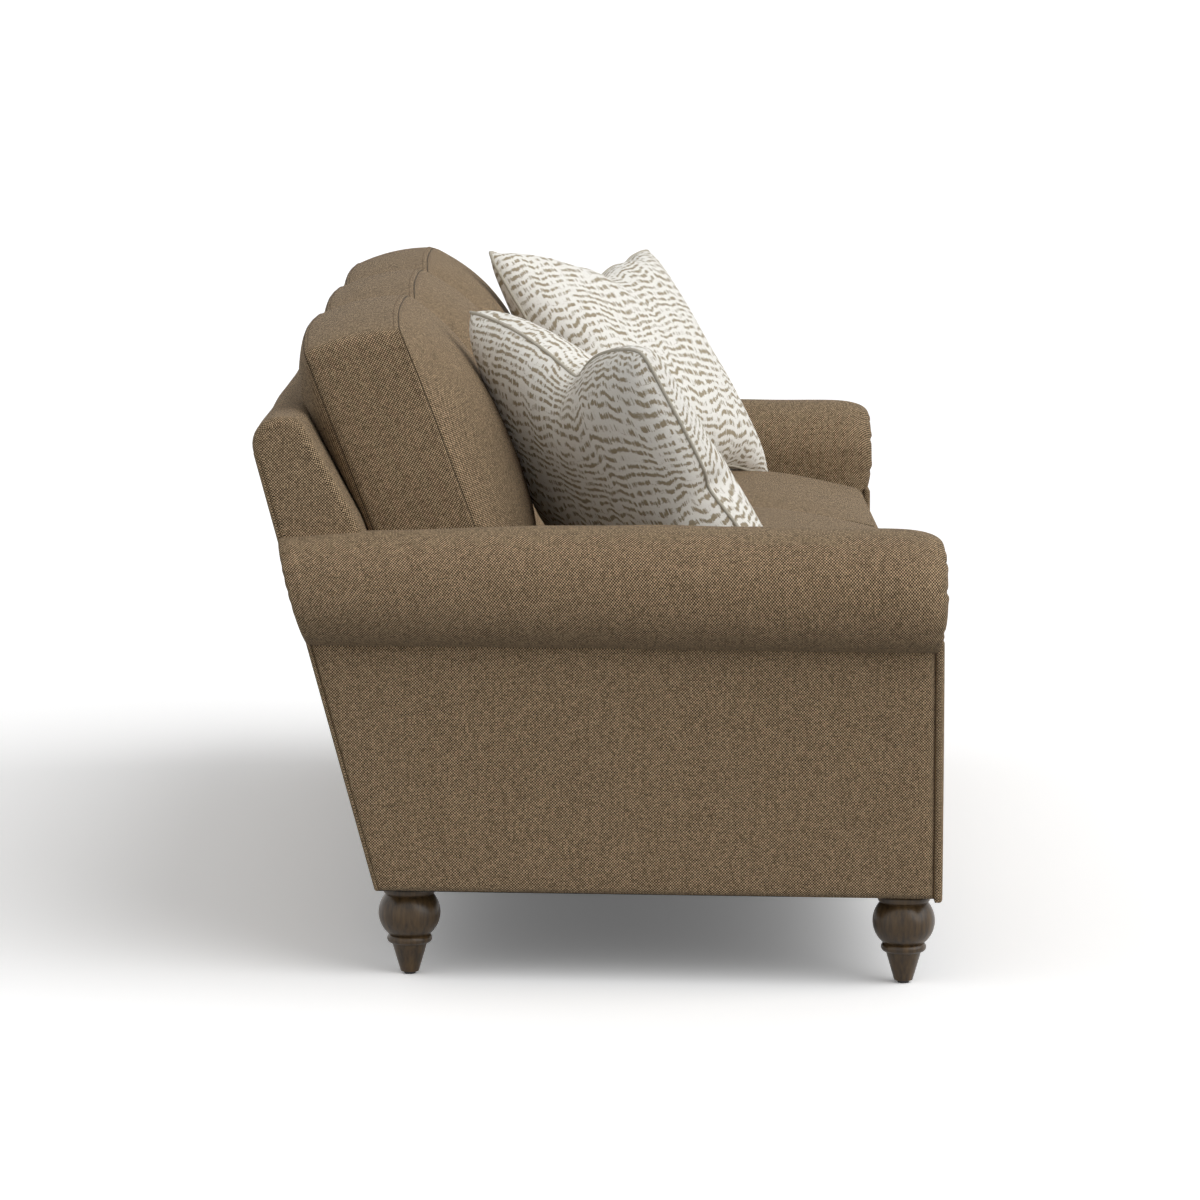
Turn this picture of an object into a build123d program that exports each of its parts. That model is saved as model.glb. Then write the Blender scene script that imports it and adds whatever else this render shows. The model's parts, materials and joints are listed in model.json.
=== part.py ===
"""Rolled arm sofa with three seat cushions, three back cushions and two throw pillows.

Millimetres. X runs across the sofa, positive on the right as seen from the front. The front
faces -Y and Z is up. The origin is on the floor, below the middle of the overall box.
"""

import os
from math import atan, cos, hypot, radians, sin, sqrt, tan

from build123d import *

# Overall sizes
overall_width = 2200.0  # across the arm rolls at the front
overall_depth = 1000.0  # arm roll fronts to the rear of the back
leg_height = 133.0  # floor to the underside of the body
arm_height = 666.0  # floor to the top of an arm roll at its front
back_height = 824.0  # floor to the top of the padded back

# Arms
arm_width = 200.0  # roll at the front, seat side to outside
arm_taper = 75.0  # how far the outside draws in from front to rear
arm_drop = 16.0  # how much lower the roll is at the rear
roll_overhang = 55.0  # roll past the outside panel
roll_drop = 176.0  # top of the roll to the crease below it
roll_flatness = 0.88  # height over half width of the roll's top
dome_length = 85.0  # rounding of the roll's front end, along the arm
dome_height = 32.0  # rounding of the roll's front end, across the arm
facing_thickness = 11.0
facing_proud = 7.0  # front of the roll past the facing
facing_hang = 4.5  # facing below the body
facing_round = 4.0  # radius of the facing's front edges
panel_thickness = 6.0  # padded cover on the outside of arms and back

# Back
back_rake = 15.0  # degrees, outside of the back
cushion_pitch = 21.0  # degrees, inside of the back and its cushions
back_depth = 156.5  # through the back at the seat deck, front to rear
back_top_width = 68.0  # flat of the back's top, out to its rear limit
back_rear_round = 40.0  # radius at the rear of the top
back_front_round = 26.0  # radius at the front of the top
back_knee_drop = 152.0  # top of the back to where its inside starts to lean away
back_pad_thickness = 35.0

# Frame
board = 28.0  # thickness of the frame's boards
rail_height = 225.0  # front, side and rear rails
spring_rail_height = 80.0
stretcher_height = 70.0
top_rail_height = 100.0
tack_rail_height = 60.0
tack_rail_lift = 30.0  # tack rails above the other rails
arm_rail_height = 44.0
post_head = 58.0  # radius of the arm post's head
block_height = 40.0
block_length = 110.0
dust_cover_thickness = 2.0
border_thickness = 8.0
deck_thickness = 25.0

# Springs and webbing
spring_wire = 4.0
spring_width = 52.0
spring_pitch = 34.0  # along the spring, from one cross run to the next
spring_bend = 11.0  # radius of the spring's corners
springs_per_seat = 4
spring_end = 16.0  # straight end of a spring, into its clip
clip_width = 16.0
clip_size = 10.0
strap_width = 50.0
strap_thickness = 2.0
straps_per_seat = 3

# Legs
front_leg_inset = 108.0  # from the outside of the roll
rear_leg_inset = 172.0
front_leg_setback = 59.0  # from the front of the sofa
rear_leg_gap = 14.3  # axis of a rear leg in front of the rear rail
bulb_diameter = 90.0
bulb_height = 97.0
collar_diameter = 77.0
collar_length = 14.0  # collar and neck above the bulb
bead_diameter = 66.0
bead_bottom = 47.0
bead_length = 12.0
cone_diameter = 52.0
foot_diameter = 27.0
glide_diameter = 17.0
glide_height = 4.0
glide_nail_diameter = 3.0
glide_nail_length = 14.0
bolt_diameter = 8.0
bolt_depth = 32.0  # into the leg
nut_diameter = 11.0
nut_length = 16.0
nut_flange_diameter = 22.0
nut_flange_thickness = 1.5

# Seat cushions
seats = 3
seat_seam_height = 127.0  # deck to the top seam of a seat cushion
seat_seam_setback = 26.0  # top front seam from the front of the sofa
seat_front_setback = 14.0  # lower front edge from the front of the sofa
seat_front_bulge = 8.0
seat_crown = 60.0
seat_end_crown = 36.0
cushion_gap = 4.0  # between neighbours and to the arms
core_inset = 14.0  # cover and wrap over a core
core_end_inset = 22.0

# Back cushions
boxing = 132.0  # front seam to rear seam
back_front_rise = 114.0  # front top seam at the ends, above the padded back
back_rear_rise = 86.0  # rear top seam at the ends, above the padded back
back_top_rise = 22.0  # how much higher the top is at mid length
back_crown = 92.0
back_end_crown = 5.0
back_rear_crown = 8.0
back_top_crown = 12.0

# Throw pillows
pillow_size = 456.0  # corner to corner along a side
pillow_thickness = 170.0
pillow_draw = 24.0  # how far the sides pull in between corners
insert_size = 330.0  # side of the insert's edge
insert_face = 210.0  # side of the insert's flat front and rear
insert_thickness = 96.0
pillow_welt = 6.0  # height of the sewn edge
pillow_x = 672.0  # middle of the pillow from the middle of the sofa
pillow_forward = 294.0  # middle of the pillow in front of the inside of the back
pillow_yaw = 36.6  # degrees, turned to the middle of the sofa
pillow_lean = 35.0  # degrees, leaning back
pillow_roll = 3.0  # degrees, turned in its own plane

# Clearances
rest_gap = 0.3  # loose piece above what it lies on
fit_gap = 0.1  # round piece in its hole

# Places that follow from the sizes
half_width = overall_width / 2
seat_half = half_width - arm_width
front_y = -overall_depth / 2
rear_y = overall_depth / 2
facing_front = front_y + facing_proud
frame_front = facing_front + facing_thickness
frame_back = frame_front + board
rail_bottom = leg_height + dust_cover_thickness
rail_top = rail_bottom + rail_height
deck_top = rail_top + deck_thickness
crease_z = arm_height - roll_drop
back_knee = back_height - back_knee_drop
back_front_top = back_height + back_front_rise
back_rear_top = back_height + back_rear_rise
rake = tan(radians(back_rake))
pitch = tan(radians(cushion_pitch))
back_panel_top = back_height - back_rear_round * (1 + sin(radians(back_rake)))
panel_run = panel_thickness / cos(radians(back_rake))


def outside_y(z):
    """Outside face of the back at a height; it touches the round at the rear of the top."""
    at_round = rear_y - back_rear_round + back_rear_round / cos(radians(back_rake))
    return at_round + (z - (back_height - back_rear_round)) * rake


def lining_y(z):
    """Inner face of the outside back panel at a height."""
    return outside_y(z) - panel_run


def rear_rail_front(z):
    """Front face of the rear rail at a height."""
    return lining_y(z) - board


inside_back_y = outside_y(deck_top) - back_depth


def inside_y(z):
    """Inside face of the back at a height, below its knee."""
    return inside_back_y + (z - deck_top) * pitch


def cavity_y(z):
    """Rear face of the inside back pad, where the back frame starts."""
    return inside_y(z) + back_pad_thickness / cos(radians(cushion_pitch))


def roll_x(y):
    """Outermost reach of an arm roll at a place along the arm."""
    return half_width - arm_taper * (y - front_y - dome_length) / overall_depth


def panel_x(y):
    """Outside face of the arm panel at a place along the arm."""
    return roll_x(y) - roll_overhang


def lining_x(y):
    """Inner face of the arm panel at a place along the arm."""
    return panel_x(y) - panel_thickness


back_half = panel_x(outside_y(crease_z))
post_outer = back_half - panel_thickness
post_inner = post_outer - board
post_front = cavity_y(rail_top)
front_leg = (half_width - front_leg_inset, front_y + front_leg_setback)
rear_leg = (half_width - rear_leg_inset, rear_rail_front(rail_bottom) - rear_leg_gap)
leg_places = [(-front_leg[0], front_leg[1]), front_leg, (-rear_leg[0], rear_leg[1]), rear_leg]


def side_view(points, x0, x1):
    """Solid with a straight sided outline seen from the side, from x0 to x1."""
    with BuildPart() as solid:
        with BuildSketch(Plane.YZ.offset(x0)):
            with BuildLine():
                Polyline(*points, close=True)
            make_face()
        extrude(amount=x1 - x0)
    return solid.part


def plan_view(points, z0, z1):
    """Solid with a straight sided outline seen from above, from z0 to z1."""
    with BuildPart() as solid:
        with BuildSketch(Plane.XY.offset(z0)):
            with BuildLine():
                Polyline(*points, close=True)
            make_face()
        extrude(amount=z1 - z0)
    return solid.part


def block(x0, x1, y0, y1, z0, z1):
    """Rectangular solid between two corners."""
    return plan_view([(x0, y0), (x1, y0), (x1, y1), (x0, y1)], z0, z1)


def group(solids):
    """Pieces of one kind, kept as separate solids."""
    return Compound(children=list(solids))


def flipped(solid):
    """The same piece for the right side."""
    with BuildPart() as other:
        mirror(solid, about=Plane.YZ)
    return other.part


pieces = {}


def keep(name, solid):
    """Note a finished piece under its name."""
    pieces[name] = solid


def keep_pair(name, solid):
    """Note a left piece and its right twin."""
    keep(name + "_left", solid)
    keep(name + "_right", flipped(solid))


# Whole of the padded back, also used to trim what meets it
with BuildPart() as back_form:
    with BuildSketch(Plane.YZ.offset(-back_half)):
        with BuildLine():
            Polyline(
                (outside_y(rail_top), rail_top),
                (outside_y(back_height), back_height),
                (rear_y - back_top_width, back_height),
                (inside_y(back_knee), back_knee),
                (inside_y(rail_top), rail_top),
                close=True,
            )
        make_face()
        back_corners = vertices().group_by(Axis.Y)[-1].sort_by(Axis.X)
        fillet(back_corners[-1], radius=back_rear_round)
        fillet(vertices().group_by(Axis.Y)[-1].sort_by(Axis.X)[0], radius=back_front_round)
    extrude(amount=2 * back_half)

behind_back = side_view(
    [
        (outside_y(0), 0),
        (outside_y(back_height), back_height),
        (rear_y + overall_depth, back_height),
        (rear_y + overall_depth, 0),
    ],
    -half_width,
    half_width,
)

behind_lining = side_view(
    [
        (lining_y(0), 0),
        (lining_y(back_height), back_height),
        (rear_y + overall_depth, back_height),
        (rear_y + overall_depth, 0),
    ],
    -half_width,
    half_width,
)


# Base frame
keep("front_rail", block(-post_inner, post_inner, frame_front, frame_back, rail_bottom, rail_top))

keep(
    "rear_rail",
    side_view(
        [
            (rear_rail_front(rail_bottom), rail_bottom),
            (lining_y(rail_bottom), rail_bottom),
            (lining_y(rail_top), rail_top),
            (rear_rail_front(rail_top), rail_top),
        ],
        -post_inner,
        post_inner,
    ),
)

keep(
    "spring_rail",
    block(
        -post_inner,
        post_inner,
        post_front,
        post_front + board,
        rail_top - spring_rail_height,
        rail_top,
    ),
)

keep_pair(
    "side_rail",
    plan_view(
        [
            (-lining_x(frame_back), frame_back),
            (-lining_x(frame_back) + board, frame_back),
            (-lining_x(post_front) + board, post_front),
            (-lining_x(post_front), post_front),
        ],
        rail_bottom,
        rail_top,
    ),
)

stretcher_top = rail_bottom + stretcher_height
stretcher_places = [seat_half * (2 * i / seats - 1) for i in range(1, seats)]
keep(
    "center_rails",
    group(
        side_view(
            [
                (frame_back, rail_bottom),
                (rear_rail_front(rail_bottom), rail_bottom),
                (rear_rail_front(stretcher_top), stretcher_top),
                (frame_back, stretcher_top),
            ],
            x - board / 2,
            x + board / 2,
        )
        for x in stretcher_places
    ),
)


def bolt_holes(part, diameter):
    """The part with a hole over every leg."""
    with BuildPart() as drilled:
        add(part)
        with BuildSketch():
            with Locations(*leg_places):
                Circle(diameter / 2)
        extrude(amount=rail_top, mode=Mode.SUBTRACT)
    return drilled.part


block_top = rail_bottom + block_height
nut_hole = nut_diameter + 2 * fit_gap


def front_corner_block():
    """Three cornered block behind the left arm post."""
    inner = -lining_x(frame_back) + board
    far = frame_back + block_length
    corner = plan_view(
        [(inner, frame_back), (inner + block_length, frame_back), (-lining_x(far) + board, far)],
        rail_bottom,
        block_top,
    )
    return bolt_holes(corner, nut_hole)


def rear_corner_block():
    """Block between the left back post and the rear rail."""
    corner = side_view(
        [
            (post_front - board, rail_bottom),
            (rear_rail_front(rail_bottom), rail_bottom),
            (rear_rail_front(block_top), block_top),
            (post_front - board, block_top),
        ],
        -post_inner,
        block_length - post_inner,
    )
    return bolt_holes(corner, nut_hole)


left_blocks = [front_corner_block(), rear_corner_block()]
keep("corner_blocks", group(left_blocks + [flipped(corner) for corner in left_blocks]))


# Arm frame
roll_middle = -(seat_half + arm_width / 2)
head_z = crease_z + roll_drop / 2
with BuildPart() as arm_post:
    with BuildSketch(Plane.XY.offset(rail_bottom)):
        with BuildLine():
            Polyline(
                (-post_inner, frame_front),
                (-post_inner, frame_back),
                (-lining_x(frame_back), frame_back),
                (-lining_x(frame_front), frame_front),
                close=True,
            )
        make_face()
    extrude(amount=head_z - rail_bottom)
    with BuildSketch(Plane.XZ.offset(-frame_front)):
        with Locations((roll_middle, head_z)):
            Circle(post_head)
    extrude(amount=-board)
keep_pair("arm_post", arm_post.part)


def arm_rail(z0, z1):
    """Rail along the left arm, from the arm post to the back post."""
    return side_view(
        [(frame_back, z0), (cavity_y(z0), z0), (cavity_y(z1), z1), (frame_back, z1)],
        -post_outer,
        -post_inner,
    )


tack_bottom = rail_top + tack_rail_lift
arm_top_rail = arm_rail(head_z - arm_rail_height / 2, head_z + arm_rail_height / 2)
arm_gap = crease_z - rail_top
arm_tack_rail = arm_rail(rail_top + arm_gap / 4, crease_z - arm_gap / 4)
keep_pair("arm_top_rail", arm_top_rail)
keep_pair("arm_tack_rail", arm_tack_rail)

# Back frame
keep_pair(
    "back_post",
    side_view(
        [
            (post_front, rail_bottom),
            (post_front, rail_top),
            (cavity_y(back_panel_top), back_panel_top),
            (lining_y(back_panel_top), back_panel_top),
            (lining_y(rail_bottom), rail_bottom),
        ],
        -post_outer,
        -post_inner,
    ),
)


def back_rail(z0, z1):
    """Rail across the back, between the back posts."""
    return side_view(
        [
            (cavity_y(z0), z0),
            (cavity_y(z0) + board, z0),
            (cavity_y(z1) + board, z1),
            (cavity_y(z1), z1),
        ],
        -post_inner,
        post_inner,
    )


top_rail_bottom = back_panel_top - top_rail_height
tack_top = tack_bottom + tack_rail_height
keep("back_top_rail", back_rail(top_rail_bottom, back_panel_top))
keep("back_tack_rail", back_rail(tack_bottom, tack_top))

keep(
    "back_stiles",
    group(
        side_view(
            [
                (cavity_y(rail_top) + board, rail_top),
                (cavity_y(back_panel_top) + board, back_panel_top),
                (lining_y(back_panel_top), back_panel_top),
                (lining_y(rail_top), rail_top),
            ],
            x - board / 2,
            x + board / 2,
        )
        for x in stretcher_places
    ),
)


# Springs and webbing
seat_pitch = 2 * seat_half / seats


def across(count):
    """Evenly spread places over all seats, a number of them to each seat."""
    step = seat_pitch / count
    return [-seat_half + step * (i + 0.5) for i in range(count * seats)]


spring_z = rail_top - spring_wire / 2 - rest_gap
spring_front = frame_back + clip_size
spring_rear = post_front - clip_size
loops = int((spring_rear - spring_front - 2 * spring_end) / spring_pitch)
loop = (spring_rear - spring_front - 2 * spring_end) / loops


def spring_points():
    """Corners of one zigzag spring, along Y."""
    points = [(0, spring_front)]
    for i in range(loops + 1):
        y = spring_front + spring_end + i * loop
        side = spring_width / 2 if i % 2 else -spring_width / 2
        points += [(0 if i == 0 else -side, y), (0 if i == loops else side, y)]
    return points + [(0, spring_rear)]


with BuildPart() as spring:
    with BuildLine(Plane.XY.offset(spring_z)) as spring_line:
        FilletPolyline(*spring_points(), radius=spring_bend)
    with BuildSketch(Plane(origin=spring_line.line @ 0, z_dir=spring_line.line % 0)):
        Circle(spring_wire / 2)
    sweep()
keep(
    "seat_springs",
    group(spring.part.moved(Location((x, 0, 0))) for x in across(springs_per_seat)),
)


def spring_clip(x, y):
    """Clip on a rail that holds one end of a spring."""
    half = clip_width / 2
    return block(x - half, x + half, y, y + clip_size, rail_top - clip_size, rail_top - rest_gap)


keep(
    "spring_clips",
    group(spring_clip(x, y) for x in across(springs_per_seat) for y in (frame_back, spring_rear)),
)

keep(
    "back_webbing",
    group(
        side_view(
            [
                (cavity_y(tack_top), tack_top),
                (cavity_y(tack_top) + strap_thickness, tack_top),
                (cavity_y(top_rail_bottom) + strap_thickness, top_rail_bottom),
                (cavity_y(top_rail_bottom), top_rail_bottom),
            ],
            x - strap_width / 2,
            x + strap_width / 2,
        )
        for x in across(straps_per_seat)
    ),
)


# Upholstery of the base
keep(
    "seat_deck",
    side_view(
        [
            (frame_front, rail_top),
            (inside_y(rail_top), rail_top),
            (inside_y(deck_top), deck_top),
            (frame_front, deck_top),
        ],
        -seat_half,
        seat_half,
    ),
)

border_front = frame_front - border_thickness
keep("front_border", block(-seat_half, seat_half, border_front, frame_front, leg_height, deck_top))

cover_rear = lining_y(leg_height)
dust_sheet = plan_view(
    [
        (-lining_x(frame_front), frame_front),
        (lining_x(frame_front), frame_front),
        (lining_x(cover_rear), cover_rear),
        (-lining_x(cover_rear), cover_rear),
    ],
    leg_height,
    rail_bottom,
)
keep("dust_cover", bolt_holes(dust_sheet, bolt_diameter + 2 * fit_gap))


# Upholstery of the arms
def roll_section(y, inset):
    """Outline of the left arm roll at a place along the arm, drawn in by an inset."""
    outer = -roll_x(y) + inset
    inner = -seat_half - inset / 2
    top = arm_height - arm_drop * (y - front_y) / overall_depth - inset
    middle = (inner + outer) / 2
    side = top - roll_flatness * (inner - outer) / 2
    crease = -panel_x(y)
    with BuildSketch(Plane.XZ.offset(-y)) as outline:
        with BuildLine():
            Line((crease, crease_z), (inner, crease_z))
            Line((inner, crease_z), (inner, side))
            ThreePointArc((inner, side), (middle, top), (outer, side))
            SagittaArc((outer, side), (crease, crease_z), (crease_z - side) / 5)
        make_face()
    return outline.sketch


def dome_inset(share):
    """How far the roll is drawn in, from its front (0) to the end of the rounding (1)."""
    return dome_height * (1 - sqrt(1 - (1 - share) ** 2))


with BuildPart() as arm_roll:
    for share in (0.0, 0.1, 0.35, 1.0):
        add(roll_section(front_y + dome_length * share, dome_inset(share)))
    add(roll_section(rear_y, 0.0))
    loft(ruled=True)
    add(behind_back, mode=Mode.SUBTRACT)
    add(back_form.part, mode=Mode.SUBTRACT)
    add(arm_post.part, mode=Mode.SUBTRACT)
    add(arm_top_rail, mode=Mode.SUBTRACT)
keep_pair("arm_roll", arm_roll.part)

with BuildPart() as inside_arm_pad:
    add(
        side_view(
            [
                (frame_back, rail_top),
                (inside_y(rail_top), rail_top),
                (inside_y(crease_z), crease_z),
                (frame_back, crease_z),
            ],
            -post_inner,
            -seat_half,
        )
    )
keep_pair("inside_arm_pad", inside_arm_pad.part)

with BuildPart() as outside_arm_panel:
    add(
        plan_view(
            [
                (-panel_x(frame_front), frame_front),
                (-lining_x(frame_front), frame_front),
                (-lining_x(rear_y), rear_y),
                (-panel_x(rear_y), rear_y),
            ],
            leg_height,
            crease_z,
        )
    )
    add(behind_lining, mode=Mode.SUBTRACT)
keep_pair("outside_arm_panel", outside_arm_panel.part)

with BuildPart() as arm_facing:
    add(
        block(
            -panel_x(frame_front),
            -seat_half,
            facing_front,
            frame_front,
            leg_height - facing_hang,
            crease_z,
        )
    )
    facing_edges = faces().sort_by(Axis.Y)[0].edges().sort_by(Axis.Z)[:-1]
    fillet(facing_edges, radius=facing_round)
keep_pair("arm_facing", arm_facing.part)

# Upholstery of the back
with BuildPart() as inside_back_pad:
    add(back_form.part)
    add(
        side_view(
            [
                (cavity_y(0), 0),
                (cavity_y(back_panel_top), back_panel_top),
                (rear_y + overall_depth, back_panel_top),
                (rear_y + overall_depth, 0),
            ],
            -half_width,
            half_width,
        ),
        mode=Mode.SUBTRACT,
    )
    for rail in (arm_tack_rail, arm_top_rail):
        add(rail, mode=Mode.SUBTRACT)
        add(flipped(rail), mode=Mode.SUBTRACT)
keep("inside_back_pad", inside_back_pad.part)

panel_low = panel_x(outside_y(leg_height))
with BuildPart() as outside_back_panel:
    add(
        side_view(
            [
                (lining_y(leg_height), leg_height),
                (outside_y(leg_height), leg_height),
                (outside_y(back_panel_top), back_panel_top),
                (lining_y(back_panel_top), back_panel_top),
            ],
            -half_width,
            half_width,
        )
    )
    with BuildSketch(Plane.XZ.offset(-rear_y)):
        with BuildLine():
            Polyline(
                (-panel_low, leg_height),
                (panel_low, leg_height),
                (back_half, crease_z),
                (back_half, back_panel_top),
                (-back_half, back_panel_top),
                (-back_half, crease_z),
                close=True,
            )
        make_face()
    extrude(amount=overall_depth, mode=Mode.INTERSECT)
keep("outside_back_panel", outside_back_panel.part)

with BuildPart() as back_side_panel:
    add(
        side_view(
            [
                (cavity_y(crease_z), crease_z),
                (cavity_y(back_panel_top), back_panel_top),
                (lining_y(back_panel_top), back_panel_top),
                (lining_y(crease_z), crease_z),
            ],
            -back_half,
            -post_outer,
        )
    )
keep("back_side_panels", group([back_side_panel.part, flipped(back_side_panel.part)]))


# Legs
def turned_leg(place):
    """Turned leg at one place, with holes for its bolt and its glide's nail."""
    foot = foot_diameter / 2
    cone = cone_diameter / 2
    bead = bead_diameter / 2
    bulb = bulb_diameter / 2
    collar = collar_diameter / 2
    waist = (cone + bead) / 2
    bead_top = bead_bottom + bead_length
    collar_bottom = leg_height - collar_length
    neck = collar - collar_length / 4
    with BuildPart() as leg:
        with BuildSketch(Plane.XZ):
            with BuildLine():
                Polyline((waist, bead_bottom), (cone, bead_bottom), (foot, glide_height))
                Polyline((foot, glide_height), (0, glide_height), (0, leg_height))
                Polyline((0, leg_height), (neck, leg_height))
                ThreePointArc(
                    (waist, bead_bottom),
                    (bead, bead_bottom + bead_length / 2),
                    (waist, bead_top),
                )
                ThreePointArc((waist, bead_top), (bulb, bulb_height), (neck, collar_bottom))
                ThreePointArc(
                    (neck, collar_bottom),
                    (collar, leg_height - collar_length / 2),
                    (neck, leg_height),
                )
            make_face()
        revolve(axis=Axis.Z)
        with BuildSketch(Plane.XY.offset(leg_height)):
            Circle(bolt_diameter / 2 + fit_gap)
        extrude(amount=-bolt_depth - fit_gap, mode=Mode.SUBTRACT)
        with BuildSketch(Plane.XY.offset(glide_height)):
            Circle(glide_nail_diameter / 2 + fit_gap)
        extrude(amount=glide_nail_length + fit_gap, mode=Mode.SUBTRACT)
    return leg.part.moved(Location((place[0], place[1], 0)))


leg_names = ("leg_front_left", "leg_front_right", "leg_rear_left", "leg_rear_right")
for leg_name, leg_place in zip(leg_names, leg_places):
    keep(leg_name, turned_leg(leg_place))

with BuildPart() as leg_glide:
    with BuildSketch():
        Circle(glide_diameter / 2)
    extrude(amount=glide_height)
    with BuildSketch(Plane.XY.offset(glide_height)):
        Circle(glide_nail_diameter / 2)
    extrude(amount=glide_nail_length)

with BuildPart() as leg_bolt:
    with BuildSketch(Plane.XY.offset(leg_height - bolt_depth)):
        Circle(bolt_diameter / 2)
    extrude(amount=bolt_depth + block_top - leg_height)

with BuildPart() as tee_nut:
    with BuildSketch(Plane.XY.offset(block_top)):
        Circle(nut_flange_diameter / 2)
    extrude(amount=nut_flange_thickness)
    with BuildSketch(Plane.XY.offset(block_top)):
        Circle(nut_diameter / 2)
    extrude(amount=-nut_length)
    with BuildSketch(Plane.XY.offset(block_top - nut_length)):
        Circle(bolt_diameter / 2 + fit_gap)
    extrude(amount=nut_length + nut_flange_thickness, mode=Mode.SUBTRACT)

for small_name, small in (("leg_glides", leg_glide), ("leg_bolts", leg_bolt), ("tee_nuts", tee_nut)):
    keep(small_name, group(small.part.moved(Location((x, y, 0))) for x, y in leg_places))

# Cushions
cushion_bottom = deck_top + rest_gap
cushion_width = (2 * seat_half - (seats + 1) * cushion_gap) / seats
cushion_places = [-seat_half + cushion_gap + i * (cushion_width + cushion_gap) for i in range(seats)]
cushion_sides = ("left", "center", "right")
cushion_shares = ((0.0, 0.0), (0.07, 0.62), (0.25, 0.92), (0.5, 1.0))
loft_shares = list(cushion_shares) + [(1 - at, full) for at, full in cushion_shares[-2::-1]]
rear_run = (back_rear_crown + rest_gap) / cos(radians(cushion_pitch))
boxing_run = boxing / cos(radians(cushion_pitch))


def rear_seam_y(z):
    """Rear seam of the back cushions at a height."""
    return inside_y(z) - rear_run


def front_seam_y(z):
    """Front seam of the back cushions at a height."""
    return rear_seam_y(z) - boxing_run


front_foot = (front_seam_y(cushion_bottom), cushion_bottom)
front_head = (front_seam_y(back_front_top + back_top_rise), back_front_top + back_top_rise)
chord = hypot(front_head[0] - front_foot[0], front_head[1] - front_foot[1])
belly_radius = (chord**2 / 4 + back_crown**2) / (2 * back_crown)
belly_turn = 2 * atan(2 * back_crown / chord) - radians(cushion_pitch)
belly_y = front_foot[0] - belly_radius * (1 - cos(belly_turn))
seat_rear = belly_y - cushion_gap
seat_seam = cushion_bottom + seat_seam_height


def seat_section(x, fullness):
    """Seat cushion seen from the side at one place along its length."""
    crown = seat_end_crown + (seat_crown - seat_end_crown) * fullness
    lower = front_y + seat_front_setback
    upper = front_y + seat_seam_setback
    with BuildSketch(Plane.YZ.offset(x)) as outline:
        with BuildLine():
            Line((lower, cushion_bottom), (seat_rear, cushion_bottom))
            Line((seat_rear, cushion_bottom), (seat_rear, seat_seam))
            ThreePointArc(
                (seat_rear, seat_seam),
                ((seat_rear + upper) / 2, seat_seam + crown),
                (upper, seat_seam),
            )
            SagittaArc((upper, seat_seam), (lower, cushion_bottom), -seat_front_bulge)
        make_face()
    return outline.sketch


def back_section(x, fullness):
    """Back cushion seen from the side at one place along its length."""
    rise = back_top_rise * fullness
    front_top = back_front_top + rise
    rear_top = back_rear_top + rise
    crown = back_end_crown + (back_crown - back_end_crown) * fullness
    rear_crown = back_rear_crown * (1 + fullness) / 2
    corner_a = (front_seam_y(front_top), front_top)
    corner_b = (rear_seam_y(rear_top), rear_top)
    corner_c = (rear_seam_y(cushion_bottom), cushion_bottom)
    with BuildSketch(Plane.YZ.offset(x)) as outline:
        with BuildLine():
            SagittaArc(front_foot, corner_a, crown)
            SagittaArc(corner_a, corner_b, back_top_crown)
            SagittaArc(corner_b, corner_c, rear_crown)
            Line(corner_c, front_foot)
        make_face()
    return outline.sketch


def stuffed(section, start):
    """Cushion lofted along its length, fuller at mid length than at its ends."""
    with BuildPart() as cushion:
        for at, fullness in loft_shares:
            add(section(start + cushion_width * at, fullness))
        loft()
    return cushion.part


def hollow(outer, inner):
    """Cover with room for the core inside it."""
    with BuildPart() as cover:
        add(outer)
        add(inner, mode=Mode.SUBTRACT)
    return cover.part


seat_forms = []
for side, start in zip(cushion_sides, cushion_places):
    seat_form = stuffed(seat_section, start)
    seat_core = block(
        start + core_end_inset,
        start + cushion_width - core_end_inset,
        front_y + seat_seam_setback + core_inset,
        seat_rear - core_inset,
        cushion_bottom + core_inset,
        seat_seam - core_inset / 2,
    )
    seat_forms.append(seat_form)
    keep("seat_cushion_cover_" + side, hollow(seat_form, seat_core))
    keep("seat_cushion_core_" + side, seat_core)

for side, start in zip(cushion_sides, cushion_places):
    back_cushion_form = stuffed(back_section, start)
    fill_bottom = cushion_bottom + core_inset
    fill_top = back_rear_top - core_inset
    fill_inset = core_inset / cos(radians(cushion_pitch))
    back_fill = side_view(
        [
            (front_seam_y(fill_bottom) + fill_inset, fill_bottom),
            (rear_seam_y(fill_bottom) - fill_inset, fill_bottom),
            (rear_seam_y(fill_top) - fill_inset, fill_top),
            (front_seam_y(fill_top) + fill_inset, fill_top),
        ],
        start + core_end_inset,
        start + cushion_width - core_end_inset,
    )
    keep("back_cushion_cover_" + side, hollow(back_cushion_form, back_fill))
    keep("back_cushion_fill_" + side, back_fill)

# Throw pillows
pillow_facing = (
    sin(radians(pillow_yaw)) * cos(radians(pillow_lean)),
    -cos(radians(pillow_yaw)) * cos(radians(pillow_lean)),
    sin(radians(pillow_lean)),
)
pillow_along = (cos(radians(pillow_yaw)), sin(radians(pillow_yaw)), 0)
pillow_y = inside_back_y - pillow_forward
pillow_middle = (-pillow_x, pillow_y, seat_seam + seat_crown + pillow_size / 2)
pillow_plane = Plane(pillow_middle, x_dir=pillow_along, z_dir=pillow_facing)
pillow_steps = ((0.0, 1.0), (0.3, 0.93), (0.62, 0.76), (0.88, 0.48), (1.0, 0.2))


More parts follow.
